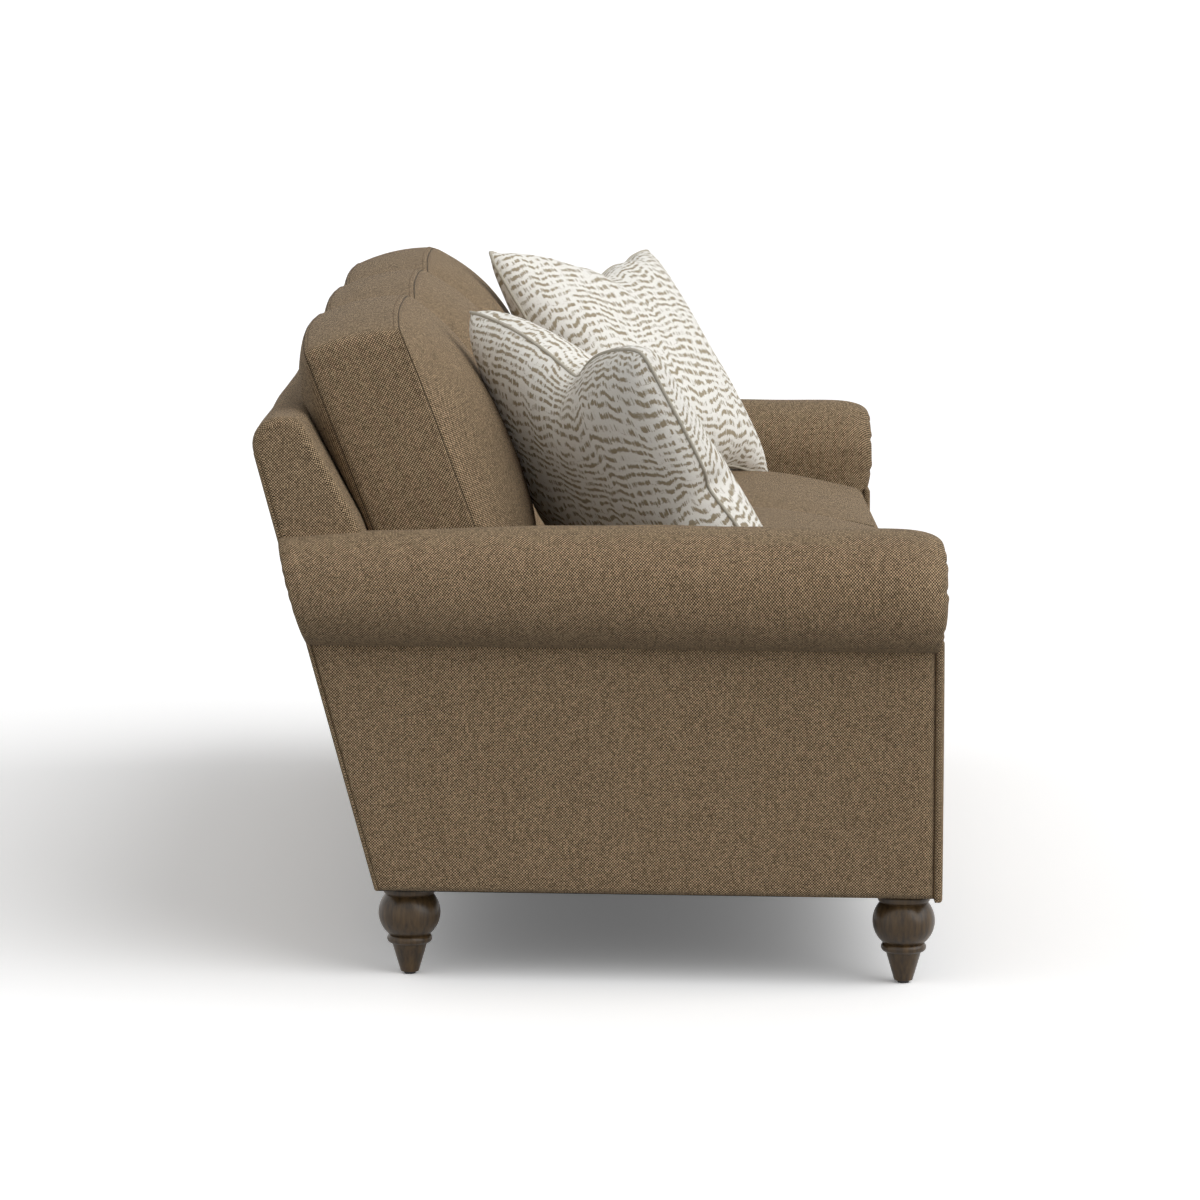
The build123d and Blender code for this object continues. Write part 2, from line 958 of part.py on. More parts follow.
def pillow_outline(plane, reach, draw):
    """Square whose sides pull in between its corners."""
    corners = [(-reach, -reach), (reach, -reach), (reach, reach), (-reach, reach)]
    with BuildSketch(plane) as outline:
        with BuildLine():
            for begin, end in zip(corners, corners[1:] + corners[:1]):
                SagittaArc(begin, end, draw)
        make_face()
    return outline.sketch


def pillow_form(reach, depth):
    """Stuffed pillow with a sewn edge all round, in its resting slant."""
    slant = pillow_plane.rotated((0, 0, pillow_roll))
    draw = pillow_draw * reach / (pillow_size / 2)
    with BuildPart() as pillow:
        add(pillow_outline(slant.offset(-pillow_welt / 2), reach, draw))
        extrude(amount=pillow_welt)
        for way in (-1, 1):
            for share, scale in pillow_steps:
                height = way * (pillow_welt / 2 + depth * share)
                add(pillow_outline(slant.offset(height), reach * scale, draw * scale**3))
            loft()
    return pillow.part


def settled(solid, support, gap):
    """Height to lower a piece by, until it lies the gap above its support."""
    drop = 0.0
    for _ in range(20):
        drop += solid.moved(Location((0, 0, -drop))).distance_to(support) - gap
    return drop


def pillow_insert():
    """Insert inside a pillow: bevelled on both faces."""
    slant = pillow_plane.rotated((0, 0, pillow_roll))
    with BuildPart() as insert:
        for way in (-1, 1):
            with BuildSketch(slant):
                Rectangle(insert_size, insert_size)
            with BuildSketch(slant.offset(way * insert_thickness / 2)):
                Rectangle(insert_face, insert_face)
            loft(ruled=True)
    return insert.part


pillow_outer = pillow_form(pillow_size / 2, pillow_thickness / 2 - pillow_welt / 2)
pillow_inner = pillow_insert()
lowered = Location((0, 0, -settled(pillow_outer, seat_forms[0], rest_gap)))
keep_pair("throw_pillow_cover", hollow(pillow_outer, pillow_inner).moved(lowered))
keep_pair("throw_pillow_insert", pillow_inner.moved(lowered))

os.makedirs("parts", exist_ok=True)
for piece_name, piece in pieces.items():
    piece.label = piece_name
    export_step(piece, "parts/" + piece_name + ".step")
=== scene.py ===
"""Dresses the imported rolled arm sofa: covers, cushions, pillows, finishes, light and camera.

Metres, in the frame of the CAD model: +X to the right as seen from the front, -Y to the front,
+Z up. Lengths that the CAD model gives are read from it or repeated here.
"""

from __future__ import annotations

import json
import logging
import math
from dataclasses import dataclass, field
from enum import Enum
from typing import Iterable, Sequence

import bmesh
import bpy
import numpy as np
from mathutils import Matrix, Vector


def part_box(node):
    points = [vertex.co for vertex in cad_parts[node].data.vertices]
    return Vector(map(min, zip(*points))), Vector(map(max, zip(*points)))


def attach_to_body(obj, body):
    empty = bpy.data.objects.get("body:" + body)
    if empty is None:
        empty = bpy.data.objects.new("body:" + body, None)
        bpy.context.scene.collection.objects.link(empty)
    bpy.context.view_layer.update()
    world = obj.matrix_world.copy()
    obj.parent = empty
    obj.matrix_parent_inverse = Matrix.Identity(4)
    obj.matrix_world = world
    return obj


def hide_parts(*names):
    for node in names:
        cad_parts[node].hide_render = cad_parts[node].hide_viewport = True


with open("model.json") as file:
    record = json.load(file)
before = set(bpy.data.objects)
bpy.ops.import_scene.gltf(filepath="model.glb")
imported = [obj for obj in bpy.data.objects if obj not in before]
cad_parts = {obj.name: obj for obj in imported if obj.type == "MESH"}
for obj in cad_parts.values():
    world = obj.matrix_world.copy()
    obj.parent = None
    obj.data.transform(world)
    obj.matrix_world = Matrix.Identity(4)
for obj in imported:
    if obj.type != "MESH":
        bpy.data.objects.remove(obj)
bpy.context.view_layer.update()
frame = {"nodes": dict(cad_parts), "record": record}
LOG = logging.getLogger("sofa")

# A screen colour, each channel from 0 to 255
Colour = tuple[int, int, int]


class Side(Enum):
    """The two ends of the sofa, as seen from the front."""

    LEFT = -1
    RIGHT = 1

    @property
    def label(self) -> str:
        """Ending of the node names on this side."""
        return self.name.lower()


class Seat(Enum):
    """The three places on the sofa."""

    LEFT = "left"
    CENTER = "center"
    RIGHT = "right"


# Node tree helpers


class Graph:
    """Short forms for building one node tree; a value is a socket or a plain number."""

    def __init__(self, tree: bpy.types.NodeTree) -> None:
        """Take the tree that the nodes go into."""
        self.tree = tree

    def open_group(self) -> None:
        """Add the group's own input and output, kept as way_in and way_out."""
        self.way_in = self.node("NodeGroupInput").outputs
        self.way_out = self.node("NodeGroupOutput").inputs

    def node(self, kind: str, **settings: object) -> bpy.types.Node:
        """Add a node.

        Args:
            kind: Blender's name of the node type.
            settings: properties to set on it.

        Returns:
            The new node.
        """
        made = self.tree.nodes.new(kind)
        for key, value in settings.items():
            setattr(made, key, value)
        return made

    def put(self, socket: bpy.types.NodeSocket, value: object) -> None:
        """Link a socket to another one, or set its plain value.

        Args:
            socket: the input to feed.
            value: what it gets.
        """
        if isinstance(value, bpy.types.NodeSocket):
            self.tree.links.new(value, socket)
        else:
            socket.default_value = value

    def feed(self, node: bpy.types.Node, inputs: dict[str | int, object]) -> None:
        """Put a value into each of a node's inputs, given by its name or number."""
        for label, value in inputs.items():
            self.put(node.inputs[label], value)

    def fed(
        self, kind: str, inputs: dict[str | int, object], **settings: object
    ) -> bpy.types.Node:
        """Add a node and feed its inputs.

        Args:
            kind: Blender's name of the node type.
            inputs: what each input gets, by its name or number.
            settings: properties to set on it.

        Returns:
            The new node.
        """
        made = self.node(kind, **settings)
        self.feed(made, inputs)
        return made

    def math(self, operation: str, *values: object) -> bpy.types.NodeSocket:
        """Result of a Math node."""
        return self.fed("ShaderNodeMath", dict(enumerate(values)), operation=operation).outputs[0]

    def times(self, value: object, factor: object) -> bpy.types.NodeSocket:
        """Product of two values."""
        return self.math("MULTIPLY", value, factor)

    def centred(self, share: object) -> bpy.types.NodeSocket:
        """Share of 0 to 1 moved to -0.5 to 0.5."""
        return self.math("SUBTRACT", share, 0.5)

    def blend(self, share: object, low: object, high: object) -> bpy.types.NodeSocket:
        """Value that goes from low, where the share is 0, to high, where it is 1."""
        return self.math("MULTIPLY_ADD", share, self.math("SUBTRACT", high, low), low)

    def span(self, value: object, low: float, high: float) -> bpy.types.NodeSocket:
        """Value spread from low..high to 0..1 and kept inside it."""
        ends = {"Value": value, "From Min": low, "From Max": high}
        return self.fed("ShaderNodeMapRange", ends).outputs["Result"]

    def triple(self, x: object, y: object, z: object) -> bpy.types.NodeSocket:
        """Vector made from three values."""
        return self.fed("ShaderNodeCombineXYZ", {0: x, 1: y, 2: z}).outputs[0]

    def split(self, vector: object) -> list[bpy.types.NodeSocket]:
        """The three numbers of a vector."""
        return list(self.fed("ShaderNodeSeparateXYZ", {0: vector}).outputs)

    def white(self, dimensions: str, socket: str, where: object) -> bpy.types.NodeSocket:
        """Value from 0 to 1, in 1D or 2D, that has nothing to do with its neighbours."""
        made = self.fed("ShaderNodeTexWhiteNoise", {socket: where}, noise_dimensions=dimensions)
        return made.outputs["Value"]

    def seen(self) -> bpy.types.NodeSocket:
        """1 where the camera sees a thing, plainly or in a reflection, and 0 for its light.

        Returns:
            The value socket.
        """
        rays = self.node("ShaderNodeLightPath").outputs
        bent = self.math("MAXIMUM", rays["Is Glossy Ray"], rays["Is Transmission Ray"])
        return self.math("MAXIMUM", rays["Is Camera Ray"], bent)

    def noise(
        self, where: object, scale: object = 1.0, detail: float = 2.0
    ) -> bpy.types.NodeSocket:
        """Soft noise, as fine as its scale says, with as many finer layers as its detail."""
        inputs = {"Vector": where, "Scale": scale, "Detail": detail}
        return self.fed("ShaderNodeTexNoise", inputs).outputs["Fac"]


def new_group(name: str, numbers: dict[str, float], outputs: Sequence[str]) -> Graph:
    """Start a shader node group with the input Coordinates.

    Args:
        name: its name.
        numbers: its number inputs, with their defaults.
        outputs: names of its number outputs.

    Returns:
        A graph on the new tree, opened.
    """
    tree = bpy.data.node_groups.new(name, "ShaderNodeTree")
    face = tree.interface
    face.new_socket("Coordinates", in_out="INPUT", socket_type="NodeSocketVector")
    for label, default in numbers.items():
        socket = face.new_socket(label, in_out="INPUT", socket_type="NodeSocketFloat")
        socket.default_value = default
    for label in outputs:
        face.new_socket(label, in_out="OUTPUT", socket_type="NodeSocketFloat")
    graph = Graph(tree)
    graph.open_group()
    return graph


# Step between neighbouring yarns, or rows of marks, in the noise that makes them uneven
YARN_APART = 17.31
ROW_APART = 7.37


def weave_group() -> bpy.types.NodeTree:
    """Plain weave of uneven yarns, lighter one way than the other.

    Returns:
        The node group: tone of the yarn on top (0 dark, 1 light), with painted shade in the dips
            between yarns and a little painted light on their crowns, and its height.
    """
    numbers = {
        "Threads": 380.0,
        "Contrast": 0.4,
        "WarpVariation": 0.5,
        "WeftVariation": 0.5,
        "Streak": 0.25,
        "Run": 0.3,
    }
    g = new_group("plain_weave", numbers, ("Tone", "Height"))
    scale = {0: g.way_in["Coordinates"], "Scale": g.way_in["Threads"]}
    scaled = g.fed("ShaderNodeVectorMath", scale, operation="SCALE")
    across, along, _ = g.split(scaled.outputs[0])
    warp, weft = g.math("FLOOR", across), g.math("FLOOR", along)
    in_warp, in_weft = g.math("FRACT", across), g.math("FRACT", along)
    over = g.math("FLOORED_MODULO", g.math("ADD", warp, weft), 2.0)
    tones = []
    for yarn, run, seed, way, share in (
        (warp, along, 3.7, 0.5, g.way_in["WarpVariation"]),
        (weft, across, 91.3, -0.5, g.way_in["WeftVariation"]),
    ):
        where = g.triple(g.times(yarn, YARN_APART), g.times(run, g.way_in["Run"]), seed)
        flecks = g.span(g.noise(where, detail=1.5), 0.3, 0.7)
        whole = g.white("1D", "W", g.math("ADD", yarn, seed))
        uneven = g.centred(g.blend(g.way_in["Streak"], flecks, whole))
        base = g.math("MULTIPLY_ADD", g.way_in["Contrast"], way, 0.5)
        tones.append(g.math("MULTIPLY_ADD", uneven, share, base))
    humps = []
    for side, length in ((in_warp, in_weft), (in_weft, in_warp)):
        off = g.math("MULTIPLY_ADD", side, 2.0, -1.0)
        round_top = g.math("SUBTRACT", 1.0, g.times(off, off))
        wave = g.math("SINE", g.times(length, math.pi))
        humps.append(g.times(round_top, g.math("MULTIPLY_ADD", wave, 0.6, 0.4)))
    height = g.blend(over, humps[1], humps[0])
    tone = g.blend(over, tones[1], tones[0])
    # Painted shade and light: the tone is scaled from 0.75 where a yarn dips under the crossing one
    # to 1.1 on its crown
    painted_dip_shade = g.math("MULTIPLY_ADD", height, 0.35, 0.75)
    g.put(g.way_out["Tone"], g.times(tone, painted_dip_shade))
    g.put(g.way_out["Height"], height)
    return g.tree


def broken_stripe_group() -> bpy.types.NodeTree:
    """Wavy stripes broken into short brush marks.

    Returns:
        The node group: ink (1 on a mark, 0 beside it).
    """
    g = new_group("broken_stripes", {"Spacing": 0.0148}, ("Ink",))
    cloth = g.way_in["Coordinates"]
    across, along, _ = g.split(cloth)
    drift = g.centred(g.noise(cloth, 7.0, 0.0))
    ripple = g.centred(g.noise(g.triple(g.times(across, 34.0), g.times(along, 6.0), 4.0), 1.0, 1.0))
    shift = g.math("MULTIPLY_ADD", drift, 0.07, g.times(ripple, 0.034))
    row = g.math("DIVIDE", g.math("ADD", along, shift), g.way_in["Spacing"])
    stripe = g.math("SINE", g.times(row, 2 * math.pi))
    line = g.math("FLOOR", row)
    yarn = g.math("FLOOR", g.times(across, 520.0))
    ragged = g.centred(g.white("2D", "Vector", g.triple(yarn, line, 0.0)))
    grain = g.centred(g.noise(cloth, 560.0, 1.0))
    uneven = g.math("MULTIPLY_ADD", ragged, 1.3, g.times(grain, 1.6))
    swell = g.centred(g.noise(cloth, 90.0, 0.0))
    edge = g.math("MULTIPLY_ADD", swell, 1.2, g.math("ADD", uneven, stripe))
    where = g.triple(g.times(across, 100.0), g.times(line, ROW_APART), 1.5)
    dash = g.math("MULTIPLY_ADD", uneven, 0.1, g.noise(where, 1.0, 1.0))
    g.put(g.way_out["Ink"], g.times(g.span(edge, -0.1, 0.6), g.span(dash, 0.38, 0.5)))
    return g.tree


def grain_group() -> bpy.types.NodeTree:
    """Long grain with fine pores.

    Returns:
        The node group: tone of the grain and its height.
    """
    g = new_group("wood_grain", {"Fineness": 60.0}, ("Tone", "Height"))
    x, y, z = g.split(g.way_in["Coordinates"])
    stretched = g.triple(x, y, g.times(z, 0.12))
    bands = g.noise(stretched, g.way_in["Fineness"], 5.0)
    g.put(g.way_out["Tone"], g.span(bands, 0.3, 0.72))
    g.put(g.way_out["Height"], g.noise(stretched, 640.0, 1.0))
    return g.tree


# Finishes

GROUPS: dict[str, bpy.types.NodeTree] = {
    "weave": weave_group(),
    "stripes": broken_stripe_group(),
    "grain": grain_group(),
}
CLOTH_MAP = "cloth"


def linear(red: int, green: int, blue: int) -> tuple[float, float, float, float]:
    """Scene colour for a screen colour given in 0 to 255.

    Args:
        red: first channel.
        green: second channel.
        blue: third channel.

    Returns:
        The colour with full alpha.
    """
    parts = [channel / 255 for channel in (red, green, blue)]
    curve = [p / 12.92 if p <= 0.04045 else ((p + 0.055) / 1.055) ** 2.4 for p in parts]
    return (curve[0], curve[1], curve[2], 1.0)


def place_group(
    graph: Graph, name: str, where: bpy.types.NodeSocket, **values: float
) -> bpy.types.Node:
    """Put one of the shared groups into a material, with its coordinates and values."""
    inputs = {"Coordinates": where, **values}
    return graph.fed("ShaderNodeGroup", inputs, node_tree=GROUPS[name])


def start_material(name: str) -> tuple[bpy.types.Material, Graph, bpy.types.Node]:
    """New material with its Principled shader.

    Args:
        name: the material's name.

    Returns:
        The material, a graph on its tree and the shader node.
    """
    material = bpy.data.materials.new(name)
    material.use_nodes = True
    graph = Graph(material.node_tree)
    return material, graph, material.node_tree.nodes["Principled BSDF"]


def ramp(
    graph: Graph, share: bpy.types.NodeSocket, *stops: tuple[float, Colour]
) -> bpy.types.NodeSocket:
    """Colour ramp.

    Args:
        graph: the material's graph.
        share: place along the ramp.
        stops: place and colour of each stop.

    Returns:
        The colour socket.
    """
    made = graph.node("ShaderNodeValToRGB")
    bar = made.color_ramp.elements
    while len(bar) < len(stops):
        bar.new(0.5)
    for stop, (at, colour) in zip(bar, stops):
        stop.position = at
        stop.color = linear(*colour)
    graph.put(made.inputs[0], share)
    return made.outputs["Color"]


def add_bump(
    graph: Graph,
    shader: bpy.types.Node,
    height: bpy.types.NodeSocket,
    strength: float,
    depth: float,
) -> None:
    """Give a shader fine relief: a share of a height of 0 to 1, with its depth in metres."""
    bump = graph.fed("ShaderNodeBump", {"Strength": strength, "Distance": depth, "Height": height})
    graph.put(shader.inputs["Normal"], bump.outputs["Normal"])


@dataclass(frozen=True)
class Tweed:
    """Woven cover of light and dark yarns; its weave follows the cloth map."""

    name: str
    dark: Colour
    middle: Colour
    light: Colour
    threads: float = 480.0
    slubs_across: float = 130.0
    slubs_along: float = 30.0
    slub_share: float = 0.08

    def make(self) -> bpy.types.Material:
        """Build the material.

        Returns:
            The finished material.
        """
        material, g, shader = start_material(self.name)
        where = g.node("ShaderNodeUVMap", uv_map=CLOTH_MAP).outputs["UV"]
        weave = place_group(
            g,
            "weave",
            where,
            Threads=self.threads,
            Contrast=0.7,
            WarpVariation=0.4,
            WeftVariation=1.0,
            Streak=0.12,
            Run=0.5,
        )
        across, along, _ = g.split(where)
        wide, long = g.times(across, self.slubs_across), g.times(along, self.slubs_along)
        slubs = g.centred(g.noise(g.triple(wide, long, 0.0)))
        tone = g.math("MULTIPLY_ADD", slubs, self.slub_share, weave.outputs["Tone"])
        # The weave's tone holds painted shade in the dips between yarns, so the dark end of this
        # ramp is partly yarn colour and partly painted shade
        colour = ramp(g, tone, (0.0, self.dark), (0.5, self.middle), (1.0, self.light))
        rough = g.math("MULTIPLY_ADD", weave.outputs["Height"], -0.12, 0.93)
        g.feed(shader, {"Base Color": colour, "Roughness": rough})
        plain = {"Specular IOR Level": 0.12, "Sheen Weight": 0.04, "Sheen Roughness": 0.5}
        g.feed(shader, plain)
        add_bump(g, shader, weave.outputs["Height"], 0.5, 0.0009)
        return material


@dataclass(frozen=True)
class PrintedLinen:
    """Off white cloth, plain or printed with broken wavy stripes."""

    name: str
    ground: Colour = (250, 248, 242)
    shade: Colour = (236, 232, 223)
    ink: Colour = (172, 159, 135)
    dark_ink: Colour = (146, 133, 109)
    printed: bool = True

    def make(self) -> bpy.types.Material:
        """Build the material.

        Returns:
            The finished material.
        """
        material, g, shader = start_material(self.name)
        where = g.node("ShaderNodeUVMap", uv_map=CLOTH_MAP).outputs["UV"]
        weave = place_group(g, "weave", where, Threads=800.0, Contrast=0.1)
        tone, height = weave.outputs["Tone"], weave.outputs["Height"]
        # Both ramps follow the weave's tone, so shade and dark_ink are partly the darker yarn and
        # partly painted shade in the dips between yarns
        colour = ramp(g, tone, (0.1, self.shade), (0.6, self.ground))
        if self.printed:
            marks = place_group(g, "stripes", where)
            ink = ramp(g, tone, (0.1, self.dark_ink), (0.6, self.ink))
            # Inputs 6 and 7 and output 2 are the colour sockets of this node
            parts = {"Factor": marks.outputs["Ink"], 6: colour, 7: ink}
            colour = g.fed("ShaderNodeMix", parts, data_type="RGBA").outputs[2]
        rough = g.math("MULTIPLY_ADD", height, -0.1, 0.9)
        g.feed(shader, {"Base Color": colour, "Roughness": rough})
        g.feed(shader, {"Specular IOR Level": 0.25, "Sheen Weight": 0.1})
        add_bump(g, shader, height, 0.35, 0.0005)
        return material


@dataclass(frozen=True)
class StainedWood:
    """Stained wood, from raw boards to dark turned legs."""

    name: str
    dark: Colour
    light: Colour
    roughness: float
    coat: float
    fineness: float = 60.0

    def make(self) -> bpy.types.Material:
        """Build the material.

        Returns:
            The finished material.
        """
        material, g, shader = start_material(self.name)
        where = g.node("ShaderNodeTexCoord").outputs["Object"]
        grain = place_group(g, "grain", where, Fineness=self.fineness)
        colour = ramp(g, grain.outputs["Tone"], (0.0, self.dark), (1.0, self.light))
        wear = g.math("MULTIPLY_ADD", g.noise(where, 30.0), 0.2, self.roughness - 0.1)
        g.feed(shader, {"Base Color": colour, "Roughness": wear})
        plain = {"Specular IOR Level": 0.35, "Coat Weight": self.coat, "Coat Roughness": 0.3}
        g.feed(shader, plain)
        add_bump(g, shader, grain.outputs["Height"], 0.25, 0.0003)
        return material


@dataclass(frozen=True)
class Plain:
    """Small or hidden things: one colour that varies a little."""

    name: str
    colour: Colour
    roughness: float
    metallic: float = 0.0
    fineness: float = 220.0
    shade: float = 0.82

    def make(self) -> bpy.types.Material:
        """Build the material.

        Returns:
            The finished material.
        """
        material, g, shader = start_material(self.name)
        where = g.node("ShaderNodeTexCoord").outputs["Object"]
        speck = g.noise(where, self.fineness, 3.0)
        dark = tuple(int(channel * self.shade) for channel in self.colour)
        rough = g.math("MULTIPLY_ADD", speck, 0.16, self.roughness - 0.08)
        colour = ramp(g, speck, (0.3, dark), (0.7, self.colour))
        g.feed(shader, {"Base Color": colour, "Roughness": rough, "Metallic": self.metallic})
        add_bump(g, shader, speck, 0.2, 0.0004)
        return material


def made_by(finish: Tweed | PrintedLinen | StainedWood | Plain) -> bpy.types.Material:
    """Field of a set of finishes, whose material is made with the set."""
    return field(default_factory=finish.make)


@dataclass
class Finishes:
    """All finishes of the sofa, made once."""

    tweed: bpy.types.Material = made_by(
        Tweed("brown_tweed", (44, 34, 24), (94, 78, 58), (216, 188, 151))
    )
    thread: bpy.types.Material = made_by(Plain("sewing_thread", (122, 102, 78), 0.8))
    # Colour of the dark cords laid in the cushions' seams: painted shadow of the seam grooves
    seam: bpy.types.Material = made_by(Plain("seam_shade", (78, 63, 45), 0.95))
    print_cloth: bpy.types.Material = made_by(PrintedLinen("striped_linen"))
    welt_cloth: bpy.types.Material = made_by(
        PrintedLinen("welt_linen", (200, 194, 180), (166, 158, 142), printed=False)
    )
    leg: bpy.types.Material = made_by(
        StainedWood("dark_stained_wood", (44, 31, 15), (90, 69, 41), 0.34, 0.1, 150.0)
    )
    board: bpy.types.Material = made_by(
        StainedWood("raw_board", (150, 116, 78), (196, 160, 116), 0.75, 0.0)
    )
    steel: bpy.types.Material = made_by(Plain("spring_steel", (150, 150, 152), 0.4, 1.0))
    webbing: bpy.types.Material = made_by(Plain("jute_webbing", (150, 126, 90), 0.9))
    lining: bpy.types.Material = made_by(Plain("black_lining", (26, 25, 24), 0.9))
    foam: bpy.types.Material = made_by(Plain("foam", (226, 214, 180), 0.9))
    glide: bpy.types.Material = made_by(Plain("black_glide", (24, 23, 22), 0.45))


# Mesh helpers

# Grid lines beside a seam, and the length of a panel that is too narrow for them
SEAM_LINES = np.array([0.0, 0.003, 0.008, 0.016])
NARROW = 0.05
# Points of two panels that are closer than this are sewn together
SEWN_WITHIN = 4e-5
SEAM_FOLD = 0.8
# Vertex group of the points that lie on seams
SEAMS = "hold"


def grid_lines(length: float, edge: np.ndarray, step: float) -> np.ndarray:
    """Places along one side of a panel, closer together beside its ends.

    Args:
        length: size of the side.
        edge: places beside an end, from 0 up.
        step: spacing between the two edges.

    Returns:
        Places from 0 to length.
    """
    count = max(2, int(round((length - 2 * edge[-1]) / step)))
    middle = np.linspace(edge[-1], length - edge[-1], count + 1)
    return np.concatenate([edge[:-1], middle, (length - edge[:-1])[::-1]])


def spread(length: float, step: float) -> np.ndarray:
    """Places along a panel between two seams.

    Args:
        length: size of the panel.
        step: spacing away from the seams.

    Returns:
        Places from 0 to length.
    """
    if length < NARROW:
        return np.linspace(0.0, length, 5)
    return grid_lines(length, SEAM_LINES, step)


def evenly(loop: np.ndarray, count: int, measured: np.ndarray | None = None) -> np.ndarray:
    """Spread points evenly round a loop that ends where it starts.

    Args:
        loop: its corners, as rows of 2.
        count: how many steps.
        measured: loop with as many corners whose lengths count instead of its own.

    Returns:
        The points, the first and the last the same.
    """
    sides = np.diff(loop if measured is None else measured, axis=0)
    run = np.concatenate([[0.0], np.cumsum(np.linalg.norm(sides, axis=1))])
    at = np.linspace(0, run[-1], count + 1)
    return np.stack([np.interp(at, run, column) for column in loop.T], axis=1)


def laid_flat(points: np.ndarray) -> np.ndarray:
    """Cloth map of a panel: its mean lengths along both of its directions.

    Args:
        points: grid of points, rows by columns by 3.

    Returns:
        Grid of map places in metres.
    """
    down = np.linalg.norm(np.diff(points, axis=0), axis=2).mean(axis=1)
    over = np.linalg.norm(np.diff(points, axis=1), axis=2).mean(axis=0)
    u, v = (np.concatenate([[0.0], np.cumsum(steps)]) for steps in (down, over))
    return np.stack(np.meshgrid(u, v, indexing="ij"), axis=2)


class Sewing:
    """Collects cloth panels and sews them into one closed mesh."""

    def __init__(self, name: str) -> None:
        """Start an empty piece.

        Args:
            name: its name.
        """
        self.name = name
        self.points: list[np.ndarray] = []
        self.maps: list[np.ndarray] = []
        self.faces: list[np.ndarray] = []
        self.seam: list[np.ndarray] = []
        self.grids: dict[str, np.ndarray] = {}
        self.count = 0

    def panel(
        self, label: str, points: np.ndarray, seams: str = "", cloth: np.ndarray | None = None
    ) -> None:
        """Add one panel.

        Args:
            label: name to find its points by later.
            points: grid of points, rows by columns by 3.
            seams: sides that are sewn: a and b for the first and last row, c and d for the
                first and last column.
            cloth: its map, or none to lay the panel flat by its lengths.
        """
        rows, columns = points.shape[:2]
        index = np.arange(rows * columns).reshape(rows, columns) + self.count
        quads = np.stack([index[:-1, :-1], index[1:, :-1], index[1:, 1:], index[:-1, 1:]], axis=2)
        sewn = np.zeros((rows, columns), bool)
        sewn[0, :] |= "a" in seams
        sewn[-1, :] |= "b" in seams
        sewn[:, 0] |= "c" in seams
        sewn[:, -1] |= "d" in seams
        self.points.append(points.reshape(-1, 3))
        self.maps.append((laid_flat(points) if cloth is None else cloth).reshape(-1, 2))
        self.faces.append(quads.reshape(-1, 4))
        self.seam.append(sewn.reshape(-1))
        self.grids[label] = index
        self.count += rows * columns

    def sewn(self, material: bpy.types.Material) -> bpy.types.Object:
        """Join the panels where their edges meet.

        Args:
            material: finish of the piece.

        Returns:
            The new object, with its seams in a vertex group.
        """
        points = np.concatenate(self.points)
        faces = np.concatenate(self.faces)
        keys = np.round(points / SEWN_WITHIN).astype(np.int64)
        _, first, inverse = np.unique(keys, axis=0, return_index=True, return_inverse=True)
        inverse = inverse.reshape(-1)
        loops, corners = [], []
        for old, new in zip(faces.tolist(), inverse[faces].tolist()):
            loop = list(dict.fromkeys(new))
            if len(loop) >= 3:
                loops.append(loop)
                corners += [old[new.index(vertex)] for vertex in loop]
        mesh = bpy.data.meshes.new(self.name)
        mesh.from_pydata(points[first].tolist(), [], loops)
        layer = mesh.uv_layers.new(name=CLOTH_MAP)
        cloth = np.concatenate(self.maps)[corners].astype(np.float32)
        layer.data.foreach_set("uv", cloth.ravel())
        turn_outwards(mesh)
        mesh.materials.append(material)
        mesh.polygons.foreach_set("use_smooth", np.ones(len(mesh.polygons), bool))
        sewn = np.zeros(len(first), bool)
        sewn[inverse[np.concatenate(self.seam)]] = True
        ends = np.empty(len(mesh.edges) * 2, int)
        mesh.edges.foreach_get("vertices", ends)
        fold = mesh.attributes.new("crease_edge", "FLOAT", "EDGE")
        fold.data.foreach_set("value", sewn[ends.reshape(-1, 2)].all(axis=1) * SEAM_FOLD)
        self.grids = {label: inverse[grid] for label, grid in self.grids.items()}
        piece = linked(self.name, mesh)
        piece.vertex_groups.new(name=SEAMS).add(np.flatnonzero(sewn).tolist(), 1.0, "REPLACE")
        return piece


def linked(name: str, data: bpy.types.ID) -> bpy.types.Object:
    """New object in the scene.

    Args:
        name: its name.
        data: its mesh, curve, lamp or camera.

    Returns:
        The object.
    """
    made = bpy.data.objects.new(name, data)
    bpy.context.scene.collection.objects.link(made)
    return made


def turn_outwards(mesh: bpy.types.Mesh) -> None:
    """Make all faces of a closed mesh point outwards.

    Args:
        mesh: the mesh.
    """
    work = bmesh.new()
    work.from_mesh(mesh)
    bmesh.ops.recalc_face_normals(work, faces=work.faces)
    work.to_mesh(mesh)
    work.free()


def vertex_rows(mesh: bpy.types.Mesh, what: str = "co") -> np.ndarray:
    """One vector for each vertex of a mesh.

    Args:
        mesh: the mesh.
        what: co for the places, normal for the normals.

    Returns:
        The vectors, as rows of 3.
    """
    rows = np.empty(len(mesh.vertices) * 3)
    mesh.vertices.foreach_get(what, rows)
    return rows.reshape(-1, 3)


def place(piece: bpy.types.Object, points: np.ndarray) -> None:
    """Move the points of a piece's mesh."""
    piece.data.vertices.foreach_set("co", points.ravel())
    piece.data.update()


def refine(piece: bpy.types.Object) -> None:
    """Subdivide a piece's mesh once, smoothly.

    Args:
        piece: the piece.
    """
    modifier = piece.modifiers.new("smooth", "SUBSURF")
    modifier.levels = modifier.render_levels = 1
    modifier.boundary_smooth = "PRESERVE_CORNERS"
    bake(piece)


def bake(piece: bpy.types.Object) -> None:
    """Turn a piece's modifiers into plain mesh.

    Args:
        piece: the piece.
    """
    graph = bpy.context.evaluated_depsgraph_get()
    mesh = bpy.data.meshes.new_from_object(
        piece.evaluated_get(graph), preserve_all_data_layers=True, depsgraph=graph
    )
    old = piece.data
    piece.modifiers.clear()
    piece.data = mesh
    mesh.name = piece.name
    if old.users == 0:
        bpy.data.meshes.remove(old)


